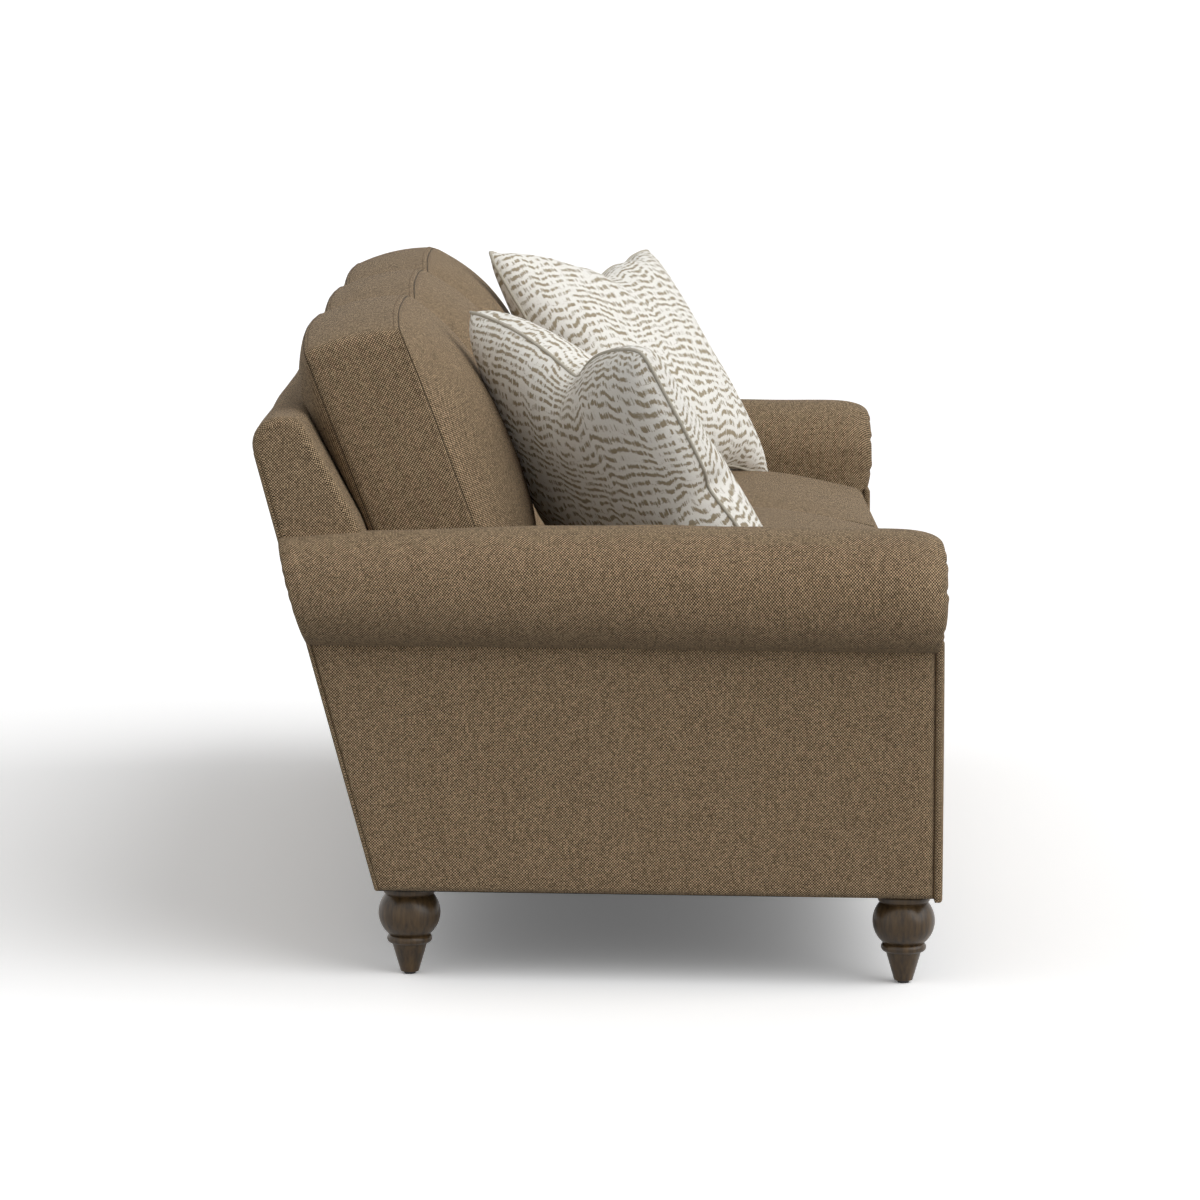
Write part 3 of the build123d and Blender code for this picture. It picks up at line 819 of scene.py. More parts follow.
def ripples(points: np.ndarray, size: float, seed: int, waves: int = 7) -> np.ndarray:
    """Smooth uneven values over space, about -1 to 1.

    Args:
        points: array whose last axis is the place in space.
        size: length of a wave in metres.
        seed: fixed start of the random numbers.
        waves: how many plane waves are added up.

    Returns:
        One value for each point, in the array's own shape.
    """
    random = np.random.default_rng(seed)
    rows = points.reshape(-1, 3)
    total = np.zeros(len(rows))
    for _ in range(waves):
        way = random.normal(size=3)
        way /= np.linalg.norm(way)
        wave = 2 * np.pi / (size * random.uniform(0.7, 1.5))
        total += np.sin(rows @ way * wave + random.uniform(0, 6.28))
    return (total / (0.5 * waves)).reshape(points.shape[:-1])


def soft_corners(
    x: np.ndarray, y: np.ndarray, wide: float, tall: float, radius: float
) -> tuple[np.ndarray, np.ndarray]:
    """Round the corners of a flat panel's grid.

    Args:
        x: places from -wide to wide.
        y: places from -tall to tall.
        wide: half width.
        tall: half height.
        radius: of the corners.

    Returns:
        The moved places.
    """
    over_x, over_y = np.abs(x) - (wide - radius), np.abs(y) - (tall - radius)
    inside = (over_x > 0) & (over_y > 0)
    share = np.maximum(over_x, over_y) / np.maximum(np.hypot(over_x, over_y), 1e-9)
    new_x = np.where(inside, np.sign(x) * (wide - radius + over_x * share), x)
    new_y = np.where(inside, np.sign(y) * (tall - radius + over_y * share), y)
    return new_x, new_y


def unit(vector: Iterable[float]) -> np.ndarray:
    """Vector of length 1 along another."""
    out = np.asarray(tuple(vector), float)
    return out / np.linalg.norm(out)


# Stuffing


@dataclass(frozen=True)
class Stuffing:
    """How a cover is filled by the cloth simulation, and how far its cloth may move."""

    pressure: float
    cap: float
    stiffness: float = 15.0
    held: bool = True
    mass: float = 0.3
    bending: float = 0.4
    damping: float = 12.0
    air: float = 2.0
    quality: int = 5

    def pour_into(self, piece: bpy.types.Object, frames: int) -> None:
        """Give a cover its cloth modifier.

        Args:
            piece: the cover.
            frames: how many frames the filling takes.
        """
        modifier = piece.modifiers.new("fill", "CLOTH")
        cloth = modifier.settings
        cloth.quality = self.quality
        cloth.mass = self.mass
        cloth.tension_stiffness = cloth.compression_stiffness = self.stiffness
        cloth.shear_stiffness = self.stiffness * 0.5
        cloth.bending_stiffness = self.bending
        cloth.tension_damping = cloth.compression_damping = self.damping
        cloth.air_damping = self.air
        cloth.use_pressure = True
        cloth.uniform_pressure_force = self.pressure
        cloth.effector_weights.gravity = 0.0
        if self.held:
            cloth.vertex_group_mass = SEAMS
            cloth.pin_stiffness = 1.0
        modifier.collision_settings.use_collision = False
        modifier.collision_settings.use_self_collision = False
        modifier.point_cache.frame_start = 1
        modifier.point_cache.frame_end = frames


Filled = tuple[bpy.types.Object, Stuffing]
# How many frames the filling runs
FILL_FRAMES = 30


def inflate(covers: Sequence[Filled], frames: int) -> None:
    """Fill closed covers with the cloth simulation and keep the result as plain mesh.

    Args:
        covers: the pieces and their stuffing.
        frames: how many frames to run.
    """
    scene = bpy.context.scene
    scene.frame_start, scene.frame_end = 1, frames
    starts = [vertex_rows(piece.data) for piece, _ in covers]
    for piece, fill in covers:
        fill.pour_into(piece, frames)
    for now in range(1, frames + 1):
        scene.frame_set(now)
    graph = bpy.context.evaluated_depsgraph_get()
    for (piece, fill), start in zip(covers, starts):
        filled = piece.evaluated_get(graph)
        step = vertex_rows(filled.to_mesh()) - start
        length = np.linalg.norm(step, axis=1, keepdims=True)
        LOG.info("%s filled, most moved %.1f mm", piece.name, 1000 * length.max())
        step *= np.minimum(1.0, fill.cap / np.maximum(length, 1e-9))
        filled.to_mesh_clear()
        piece.modifiers.clear()
        place(piece, start + step)
    scene.frame_set(1)


# Trim along paths


class Trim(Enum):
    """What can follow a path, with the name of its node tree."""

    CORD = "cord_along_path"
    STITCHES = "stitch_row"


def path_tree(trim: Trim) -> bpy.types.NodeTree:
    """Geometry nodes that follow a path, with a round cord or a row of stitches.

    Args:
        trim: which of the two.

    Returns:
        The tree, with the inputs Radius, Step, Length and Finish.
    """
    tree = bpy.data.node_groups.new(trim.value, "GeometryNodeTree")
    face = tree.interface
    face.new_socket("Geometry", in_out="INPUT", socket_type="NodeSocketGeometry")
    for label, default in (("Radius", 0.003), ("Step", 0.006), ("Length", 0.004)):
        socket = face.new_socket(label, in_out="INPUT", socket_type="NodeSocketFloat")
        socket.default_value = default
    face.new_socket("Finish", in_out="INPUT", socket_type="NodeSocketMaterial")
    face.new_socket("Geometry", in_out="OUTPUT", socket_type="NodeSocketGeometry")
    g = Graph(tree)
    g.open_group()
    radius = g.way_in["Radius"]
    path = {"Curve": g.way_in["Geometry"], "Length": g.way_in["Step"]}
    even = g.fed("GeometryNodeResampleCurve", path, mode="LENGTH").outputs["Curve"]
    if trim is Trim.STITCHES:
        tangent = g.node("GeometryNodeInputTangent").outputs[0]
        turn = g.fed("FunctionNodeAlignRotationToVector", {"Vector": tangent}, axis="Z")
        size = {"Vertices": 6, "Radius": radius, "Depth": g.way_in["Length"]}
        bead = g.fed("GeometryNodeMeshCylinder", size).outputs["Mesh"]
        row = {"Points": even, "Instance": bead, "Rotation": turn.outputs["Rotation"]}
        shape = g.fed("GeometryNodeInstanceOnPoints", row).outputs["Instances"]
    else:
        ring = g.fed("GeometryNodeCurvePrimitiveCircle", {"Resolution": 10, "Radius": radius})
        sweep = {"Curve": even, "Profile Curve": ring.outputs["Curve"], "Fill Caps": True}
        shape = g.fed("GeometryNodeCurveToMesh", sweep).outputs["Mesh"]
    real = g.fed("GeometryNodeRealizeInstances", {"Geometry": shape}).outputs["Geometry"]
    smooth = g.fed("GeometryNodeSetShadeSmooth", {"Geometry": real}).outputs["Geometry"]
    finish = {"Geometry": smooth, "Material": g.way_in["Finish"]}
    dressed = g.fed("GeometryNodeSetMaterial", finish).outputs["Geometry"]
    g.put(g.way_out["Geometry"], dressed)
    return tree


TRIM_TREES = {trim: path_tree(trim) for trim in Trim}


def follow(
    name: str,
    trim: Trim,
    paths: Sequence[np.ndarray],
    finish: bpy.types.Material,
    closed: bool = False,
    **sizes: float,
) -> bpy.types.Object:
    """Trim that follows one or more paths.

    Args:
        name: the new piece's name.
        trim: cord or stitches.
        paths: rows of points for each path.
        finish: its material.
        closed: whether each path ends where it starts.
        sizes: Radius, Step and Length in metres.

    Returns:
        The trim as a plain mesh object.
    """
    line = bpy.data.curves.new(name + "_path", "CURVE")
    line.dimensions = "3D"
    for points in paths:
        spline = line.splines.new("POLY")
        spline.points.add(len(points) - 1)
        spline.points.foreach_set("co", np.c_[points, np.ones(len(points))].ravel())
        spline.use_cyclic_u = closed
    carrier = linked(name + "_carrier", line)
    modifier = carrier.modifiers.new("trim", "NODES")
    modifier.node_group = TRIM_TREES[trim]
    for item in TRIM_TREES[trim].interface.items_tree:
        if item.in_out == "INPUT" and item.name in sizes:
            modifier[item.identifier] = float(sizes[item.name])
        if item.in_out == "INPUT" and item.name == "Finish":
            modifier[item.identifier] = finish
    graph = bpy.context.evaluated_depsgraph_get()
    mesh = bpy.data.meshes.new_from_object(carrier.evaluated_get(graph), depsgraph=graph)
    mesh.name = name
    carrier.modifiers.remove(modifier)
    bpy.data.objects.remove(carrier)
    bpy.data.curves.remove(line)
    for old in list(mesh.uv_layers):
        mesh.uv_layers.remove(old)
    layer = mesh.uv_layers.new(name=CLOTH_MAP)
    index = np.empty(len(mesh.loops), int)
    mesh.loops.foreach_get("vertex_index", index)
    x, y, z = vertex_rows(mesh).T
    layer.data.foreach_set("uv", np.c_[x + y, z + 0.6 * y][index].ravel())
    return linked(name, mesh)


def attach(
    piece: bpy.types.Object, body: str, slot: str, *nodes: str, fill: float | None = None
) -> None:
    """Fix a finished piece to a body of the CAD model and note it.

    Args:
        piece: the piece.
        body: the body that it moves with.
        slot: the record's material slot; not used.
        nodes: CAD nodes that it stands for.
        fill: how tightly it is stuffed, if it is padded; not used.
    """
    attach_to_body(piece, body)
    if nodes:
        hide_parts(*nodes)
    LOG.info("%s on %s, %d faces", piece.name, body, len(piece.data.polygons))


# Boards and covers of the body

# How tightly the covers of the body are stuffed: over flat boards, over pads, over the deck
FIRM, SOFT, LOOSE = 0.9, 0.8, 0.7


@dataclass
class PaddedBoard:
    """Flat board under cloth: rounded edges and a slight crown.

    Corners go round the face as seen from outside: lower left, lower right, upper right and
    upper left.
    """

    name: str
    corners: Sequence[Sequence[float]]
    thickness: float
    edge: float = 0.006
    crown: float = 0.0
    step: float = 0.03
    unevenness: float = 0.0
    wave_size: float = 0.22
    seed: int = 5

    def build(self, material: bpy.types.Material) -> bpy.types.Object:
        """Make the board.

        Args:
            material: its finish.

        Returns:
            The new piece.
        """
        a, b, c, d = (np.array(corner, float) for corner in self.corners)
        out = unit(np.cross(b - a, d - a))
        wide = 0.5 * (np.linalg.norm(b - a) + np.linalg.norm(c - d))
        tall = 0.5 * (np.linalg.norm(d - a) + np.linalg.norm(c - b))
        turn = np.linspace(0, np.pi / 2, 6)[:-1]
        rim = np.append(self.edge * (1 - np.cos(turn)), self.edge)
        u, v = (grid_lines(side, rim, self.step) / side for side in (wide, tall))
        u, v = np.meshgrid(u, v, indexing="ij")
        low = a + (b - a) * u[..., None]
        high = d + (c - d) * u[..., None]
        flat = low + (high - low) * v[..., None]
        reach = np.stack([u * wide, (1 - u) * wide, v * tall, (1 - v) * tall])
        near, side = reach.min(axis=0), reach.argmin(axis=0)
        inside = np.clip(self.edge - near, 0, self.edge)
        drop = self.edge - np.sqrt(np.maximum(self.edge**2 - inside**2, 0))
        swell = self.crown * np.sqrt(np.clip(16 * u * (1 - u) * v * (1 - v), 0, 1))
        wave = self.unevenness * ripples(flat, self.wave_size, self.seed) * (near > self.edge)
        face = flat + out * (swell - drop + wave)[..., None]
        rear = flat - out * self.thickness
        ways = np.stack([unit(b - a), np.cross(out, unit(b - a))])
        # The cloth of a rounded edge is longer than the edge looks from outside
        more = [drop * ((side == end) * 1.0 - (side == start)) for start, end in ((0, 1), (2, 3))]
        cloth = (flat - a) @ ways.T + np.stack(more, axis=2)
        sewing = Sewing(self.name)
        sewing.panel("face", face, cloth=cloth)
        sewing.panel("rear", rear, cloth=cloth)
        edges = (np.s_[0, :], np.s_[-1, :], np.s_[:, 0], np.s_[:, -1])
        for label, line in zip(("left", "right", "low", "high"), edges):
            sewing.panel(label, np.stack([face[line], rear[line]], axis=1))
        return sewing.sewn(material)


@dataclass
class Body:
    """Sizes that the arms, the back and the base share, as in the CAD model.

    The arch of the arms and the reach over the back are the scene's own.
    """

    half_width: float = 1.1
    front: float = -0.5
    rear: float = 0.5
    depth: float = 1.0
    seat_half: float = 0.9
    leg_height: float = 0.133
    rail_top: float = 0.36
    deck_top: float = 0.385
    arm_height: float = 0.666
    crease: float = 0.49
    arm_taper: float = 0.075
    arm_drop: float = 0.016
    arm_arch: float = 0.0095
    arch_start: float = 0.06
    arch_power: float = 1.3
    overhang: float = 0.055
    dome_length: float = 0.085
    dome_height: float = 0.032
    flatness: float = 0.88
    facing_front: float = -0.493
    frame_front: float = -0.482
    facing_hang: float = 0.0045
    back_height: float = 0.824
    back_round: float = 0.04
    back_front_round: float = 0.026
    back_top_width: float = 0.068
    back_knee: float = 0.672
    inside_back: float = 0.238
    over_back: float = 0.04
    rake: float = math.radians(15.0)
    pitch: float = math.radians(21.0)

    def outside_y(self, z: float | np.ndarray) -> float | np.ndarray:
        """Outside face of the back at a height."""
        start = self.rear - self.back_round + self.back_round / math.cos(self.rake)
        return start + (z - (self.back_height - self.back_round)) * math.tan(self.rake)

    def inside_y(self, z: float | np.ndarray) -> float | np.ndarray:
        """Inside face of the back at a height, below its knee."""
        return self.inside_back + (z - self.deck_top) * math.tan(self.pitch)

    def wall_y(self, z: np.ndarray) -> np.ndarray:
        """How far back a cushion can reach, over the top of the back too.

        Args:
            z: heights.

        Returns:
            The place at each height.
        """
        head = self.rear - self.back_top_width
        over = head + self.over_back
        heights = (0.0, self.back_knee, self.back_height, self.back_height + 0.02, 2.0)
        places = (self.inside_y(0.0), self.inside_y(self.back_knee), head, over, over)
        return np.interp(z, heights, places)

    def roll_x(self, y: float | np.ndarray) -> float | np.ndarray:
        """Reach of the arm roll at a place along the arm."""
        return self.half_width - self.arm_taper * (y - self.front - self.dome_length) / self.depth

    def roll_top(self, y: float) -> float:
        """Top of the arm roll, which is a little arched.

        Args:
            y: place along the arm.

        Returns:
            Its height.
        """
        along = (y - self.front) / self.depth
        turn = math.pi * min(max(along - self.arch_start, 0.0), 1.0)
        arch = self.arm_arch * math.sin(turn) ** self.arch_power
        return self.arm_height - self.arm_drop * along + arch

    def panel_x(self, y: float | np.ndarray) -> float | np.ndarray:
        """Outside of the arm panel at a place along the arm."""
        return self.roll_x(y) - self.overhang

    @property
    def back_half(self) -> float:
        """Half width of the back."""
        return float(self.panel_x(self.outside_y(self.crease)))


BODY = Body()


def mirrored(points: np.ndarray, side: Side) -> np.ndarray:
    """Points of a left piece, turned over for the right side."""
    return points * np.array([-side.value, 1, 1])


@dataclass
class Arm:
    """One arm: sock shaped roll with a gathered front, outside panel, inside pad and facing.

    Pleats are given by their angle round the roll, in degrees, and their share of the depth.
    The rear end closes in steps, each given by its share of the section and its push outwards.
    Gathers tell how far pleats run from an end, and bare sizes where they have died out.
    """

    side: Side
    around: int = 210
    along: int = 64
    rear: float = 0.46
    rear_gap: float = 0.004
    lead: float = 0.0045
    shoulder: float = 0.78
    underside: float = 3.9
    tuck_in: float = 0.006
    front_hub: float = 0.088
    front_crown: float = 0.004
    front_sunk: float = 0.003
    pleat_hub: tuple[float, float] = (0.1, 0.085)
    pleats: Sequence[tuple[float, float]] = (
        (24, 0.8),
        (46, 1.0),
        (84, 0.9),
        (122, 0.6),
        (-36, 0.8),
        (-72, 0.9),
        (-110, 0.8),
    )
    pleat_depth: float = 0.0034
    pleat_width: float = 0.0042
    ridge: float = 0.45
    ridge_apart: float = 0.009
    ridge_width: float = 0.006
    gather_power: float = 1.5
    front_gather: float = 0.075
    front_bare: float = 0.055
    rear_gather: float = 0.05
    rear_bare: float = 0.06
    rear_share: float = 0.5
    low_bare: float = 0.02
    least_reach: float = 0.02
    softness: float = 0.0011
    soft_size: float = 0.16
    soft_seed: int = 11
    tuck_height: float = 0.075
    tuck_length: float = 0.06
    tuck_depth: float = 0.014
    rear_steps: Sequence[tuple[float, float]] = (
        (0.985, 0.0021),
        (0.95, 0.0042),
        (0.88, 0.0056),
        (0.6, 0.007),
        (0.3, 0.0077),
        (0.02, 0.0077),
    )

    def outline(self, y: float, inset: float) -> np.ndarray:
        """Section of the left roll, from the crease round to the seat side.

        Args:
            y: place along the arm.
            inset: how far the section is drawn in.

        Returns:
            Closed loop of X and Z places.
        """
        outer = -float(BODY.roll_x(y)) + inset
        inner = -BODY.seat_half - inset / 2
        top = BODY.roll_top(y) - inset
        middle, half = 0.5 * (inner + outer), 0.5 * (inner - outer)
        side = top - BODY.flatness * half
        crease = -float(BODY.panel_x(y)) + self.tuck_in
        start, end = np.array([crease, BODY.crease]), np.array([outer, side])
        t = np.linspace(0, 1, 60)[:, None]
        chord = end - start
        bow = np.array([chord[1], -chord[0]]) / np.linalg.norm(chord)
        bow *= -1 if bow[0] > 0 else 1
        under = start + chord * t + bow * (side - BODY.crease) / self.underside * 4 * t * (1 - t)
        rise = top - side
        radius = (half**2 + rise**2) / (2 * rise)
        swing = math.asin(min(1.0, half / radius))
        angle = np.linspace(-swing, swing, 120)[1:]
        over = np.c_[middle + radius * np.sin(angle), top - radius + radius * np.cos(angle)]
        down = np.linspace(side, BODY.crease, 30)[1:]
        inside = np.c_[np.full(len(down), inner), down]
        floor = np.linspace(inner, crease, 30)[1:-1]
        below = np.c_[floor, np.full(len(floor), BODY.crease)]
        return evenly(np.concatenate([under, over, inside, below, under[:1]]), self.around)

    def rings(self) -> np.ndarray:
        """Sections of the left roll from its front to its rear.

        Returns:
            The plain roll, rings by points by 3.
        """
        rings: list[np.ndarray] = []
        core = self.outline(BODY.front, BODY.dome_height)
        hub = np.array([core[:, 0].mean(), BODY.crease + self.front_hub])
        for share in np.linspace(0.0, 0.93, 9):
            flat = hub + (core - hub) * (0.02 + 0.98 * share)
            y = BODY.front + self.lead - self.front_crown * (1 - share**2) + self.front_sunk
            rings.append(np.insert(flat, 1, y, axis=1))
        for angle in np.linspace(0, np.pi / 2, 16):
            back = 1 - max(math.cos(angle), 0.0) ** self.shoulder
            y = BODY.front + self.lead + (BODY.dome_length - self.lead) * back
            inset = BODY.dome_height * (1 - math.sin(angle) ** self.shoulder)
            rings.append(np.insert(self.outline(y, inset), 1, y, axis=1))
        begin = BODY.front + BODY.dome_length
        for share in np.linspace(0, 1, self.along)[1:]:
            ring = self.outline(begin + (self.rear - begin) * share, 0.0)
            end = BODY.outside_y(ring[:, 1]) - self.rear_gap
            rings.append(np.insert(ring, 1, begin + (end - begin) * share, axis=1))
        last = rings[-1]
        middle = last.mean(axis=0)
        for share, push in self.rear_steps:
            rings.append(middle + (last - middle) * share + np.array([0.0, push, 0.0]))
        grid = np.stack(rings)
        grid[:, -1] = grid[:, 0]
        return grid

    def roll(self, material: bpy.types.Material) -> bpy.types.Object:
        """Make the roll.

        Args:
            material: its finish.

        Returns:
            The new piece.
        """
        plain = self.rings()
        grid = self.gathered(plain)
        sewing = Sewing("arm_roll_cover_" + self.side.label)
        sewing.panel("roll", mirrored(grid, self.side), cloth=laid_flat(plain))
        for label, end in (("front", 0), ("rear", -1)):
            middle = np.tile(plain[end].mean(axis=0), (len(plain[end]), 1))
            sewing.panel(label, mirrored(np.stack([grid[end], middle]), self.side))
        return sewing.sewn(material)

    def gathered(self, grid: np.ndarray) -> np.ndarray:
        """Roll with the pleats of its gathered ends.

        Args:
            grid: rings of the plain roll.

        Returns:
            The rings with pleats pressed in.
        """
        y, z = grid[..., 1], grid[..., 2]
        out = np.cross(np.gradient(grid, axis=1), np.gradient(grid, axis=0))
        out /= np.maximum(np.linalg.norm(out, axis=2, keepdims=True), 1e-9)
        beside, up = self.pleat_hub
        hub = np.array([-(BODY.seat_half + beside), BODY.crease + up])
        away = grid[..., [0, 2]] - hub
        # Some rings of the middle tell which way is outwards
        if np.mean(np.sum(out[30:60, :, ::2] * away[30:60], axis=2)) < 0:
            out = -out
        angle = np.degrees(np.arctan2(-away[..., 0], away[..., 1]))
        reach = np.linalg.norm(away, axis=2)
        press = np.zeros(angle.shape)
        for at, share in self.pleats:
            turn = np.radians((angle - at + 180) % 360 - 180)
            apart = turn * np.maximum(reach, self.least_reach)
            valley = np.exp(-((apart / self.pleat_width) ** 2))
            crest = np.exp(-(((apart - self.ridge_apart) / self.ridge_width) ** 2))
            press += share * (valley - self.ridge * crest)
        from_front = y - BODY.front
        from_rear = BODY.outside_y(z) - y
        front = (1 - np.clip(from_front / self.front_gather, 0, 1)) ** self.gather_power
        front *= np.clip(reach / self.front_bare, 0, 1)
        rear = np.clip(1 - from_rear / self.rear_gather, 0, 1) ** self.gather_power
        rear *= np.clip(reach / self.rear_bare, 0, 1) * self.rear_share
        over_crease = z - BODY.crease
        low = np.clip(over_crease / self.low_bare, 0, 1)
        soft = ripples(grid, self.soft_size, self.soft_seed) * self.softness
        depth = soft * low - self.pleat_depth * press * (front + rear) * low
        pressed = grid + out * depth[..., None]
        tuck = np.clip(1 - over_crease / self.tuck_height, 0, 1) ** 2
        near = np.clip(1 - from_front / self.tuck_length, 0, 1)
        pressed[..., 1] += self.tuck_depth * tuck * near
        return pressed

    def board(
        self, name: str, corners: Sequence[Sequence[float]], thickness: float, **sizes: float
    ) -> PaddedBoard:
        """Padded board of the left arm, mirrored for the right one.

        Args:
            name: start of the piece's name.
            corners: of the left board, as a padded board takes them.
            thickness: of the board.
            sizes: its other sizes.

        Returns:
            The board of this side.
        """
        points = [mirrored(np.array(corner), self.side) for corner in corners]
        if self.side is Side.RIGHT:
            points = [points[k] for k in (1, 0, 3, 2)]
        return PaddedBoard(name + self.side.label, points, thickness, **sizes)

    def panel(self) -> PaddedBoard:
        """Outside panel, from the legs to under the roll.

        Returns:
            The board.
        """
        front_x, front = -BODY.panel_x(BODY.frame_front), BODY.frame_front + 0.001
        low, high = BODY.leg_height, BODY.crease + 0.016
        rear_low, rear_high = (
            (-BODY.panel_x(BODY.outside_y(z)), BODY.outside_y(z) - 0.002, z) for z in (low, high)
        )
        corners = [rear_low, (front_x, front, low), (front_x, front, high), rear_high]
        sizes = {"edge": 0.010, "crown": 0.003, "unevenness": 0.0005}
        return self.board("outside_arm_cover_", corners, 0.006, **sizes)

    def inside(self) -> PaddedBoard:
        """Pad on the seat side, below the roll.

        Returns:
            The board.
        """
        x, front = -BODY.seat_half, BODY.frame_front
        low, high = BODY.rail_top, BODY.crease + 0.012
        rear_low, rear_high = ((x, BODY.inside_y(z), z) for z in (low, high))
        corners = [(x, front, low), rear_low, rear_high, (x, front, high)]
        return self.board("inside_arm_cover_", corners, 0.03, edge=0.004)

    def facing(self) -> PaddedBoard:
        """Flat facing below the roll's front.

        Returns:
            The board.
        """
        outer, inner = -BODY.panel_x(BODY.frame_front), -BODY.seat_half
        low, high = BODY.leg_height - BODY.facing_hang, BODY.crease + 0.02
        places = ((outer, low), (inner, low), (inner, high), (outer, high))
        corners = [(x, BODY.facing_front, z) for x, z in places]
        thickness = BODY.frame_front - BODY.facing_front
        sizes = {"edge": 0.005, "crown": 0.0012, "step": 0.02}
        return self.board("arm_facing_cover_", corners, thickness, **sizes)

    def dress(self, finishes: Finishes) -> None:
        """Make the arm's pieces and fix them to the frame.

        Args:
            finishes: the finishes to use.
        """
        cloth = finishes.tweed
        made = (
            (self.roll(cloth), "arm_roll_", SOFT),
            (self.panel().build(cloth), "outside_arm_panel_", FIRM),
            (self.inside().build(cloth), "inside_arm_pad_", SOFT),
            (self.facing().build(cloth), "arm_facing_", FIRM),
        )
        for piece, node, fill in made:
            attach(piece, "frame", "sofa_fabric", node + self.side.label, fill=fill)


@dataclass
class Back:
    """The padded back: cover over the frame and the outside panel."""

    edge: float = 0.012
    around: int = 160
    across: int = 62
    inwards: int = 9
    unevenness: float = 0.0012
    wave_size: float = 0.25
    seed: int = 3

    def profile(self, inset: float) -> np.ndarray:
        """Side view of the cover, drawn in by an inset.

        Args:
            inset: how far.

        Returns:
            Corners of the closed loop, as Y and Z places.
        """
        low, top = BODY.rail_top, BODY.back_height
        rear, front = BODY.back_round, BODY.back_front_round
        centre = np.array([BODY.rear - rear, top - rear])
        angle = np.linspace(-BODY.rake, math.pi / 2, 22)
        over = centre + (rear - inset) * np.c_[np.cos(angle), np.sin(angle)]
        knee = np.array([BODY.inside_y(BODY.back_knee), BODY.back_knee])
        corner = np.array([BODY.rear - BODY.back_top_width, top])
        lean = unit(corner - knee)
        out = np.array([-lean[1], lean[0]])
        spin = math.atan2(out[1], out[0])
        offset = front * math.tan(abs(math.pi / 2 - spin) / 2)
        hub = corner + np.array([offset, -front])
        bend = np.linspace(math.pi / 2, spin, 12)
        fold = hub + (front - inset) * np.c_[np.cos(bend), np.sin(bend)]
        pitch_out = np.array([-math.cos(BODY.pitch), math.sin(BODY.pitch)])
        mid = knee - inset * unit(out + pitch_out)
        bottom = np.array([BODY.inside_y(low), low]) - inset * pitch_out
        rear_low = np.array([BODY.outside_y(low) - inset / math.cos(BODY.rake), low])
        return np.concatenate([[rear_low], over, fold, [mid], [bottom], [rear_low]])

    def cover(self, material: bpy.types.Material) -> bpy.types.Object:
        """Make the cover over the sides, top and inside.

        Args:
            material: its finish.

        Returns:
            The new piece.
        """
        flat = BODY.back_half - self.edge
        turn = np.linspace(0, np.pi / 2, 7)
        rim = [(flat + self.edge * math.cos(a), self.edge * (1 - math.sin(a))) for a in turn]
        sections = [(-x, inset) for x, inset in rim]
        sections += [(x, 0.0) for x in np.linspace(-flat, flat, self.across)[1:-1]]
        sections += rim[::-1]
        # All sections are measured on the full one, so that the threads cross the rim straight
        full = self.profile(0.0)
        loops = [evenly(self.profile(inset), self.around, full) for _, inset in sections]
        grid = np.stack([np.insert(loop, 0, x, axis=1) for loop, (x, _) in zip(loops, sections)])
        inner = np.abs(grid[..., 0]) < flat - 0.001
        grid[..., 1] += self.unevenness * ripples(grid, self.wave_size, self.seed) * inner
        grid[:, -1] = grid[:, 0]
        sewing = Sewing("back_cover")
        sewing.panel("round", grid)
        steps = np.linspace(0, 1, self.inwards)[:, None, None]
        for label, ring in (("left", grid[0]), ("right", grid[-1])):
            fan = ring[None] + (ring[:-1].mean(axis=0) - ring)[None] * steps
            sewing.panel(label, fan, cloth=fan[..., [1, 2]])
        return sewing.sewn(material)

    def outside(self) -> PaddedBoard:
        """Outside panel, from the legs to the rounded top.

        Returns:
            The board.
        """
        low = BODY.leg_height
        high = BODY.back_height - BODY.back_round * (1 + math.sin(BODY.rake))
        wide_low, wide_high = BODY.panel_x(BODY.outside_y(low)), BODY.back_half
        places = ((wide_low, low), (-wide_low, low), (-wide_high, high), (wide_high, high))
        corners = [(x, BODY.outside_y(z), z) for x, z in places]
        sizes = {"edge": 0.004, "crown": 0.003, "step": 0.04}
        return PaddedBoard("outside_back_cover", corners, 0.005, **sizes)

    def dress(self, finishes: Finishes) -> None:
        """Make the back's pieces and fix them to the frame.

        Args:
            finishes: the finishes to use.
        """
        cover, panel = self.cover(finishes.tweed), self.outside().build(finishes.tweed)
        attach(cover, "frame", "sofa_fabric", "inside_back_pad", "back_side_panels", fill=SOFT)
        attach(panel, "frame", "sofa_fabric", "outside_back_panel", fill=FIRM)


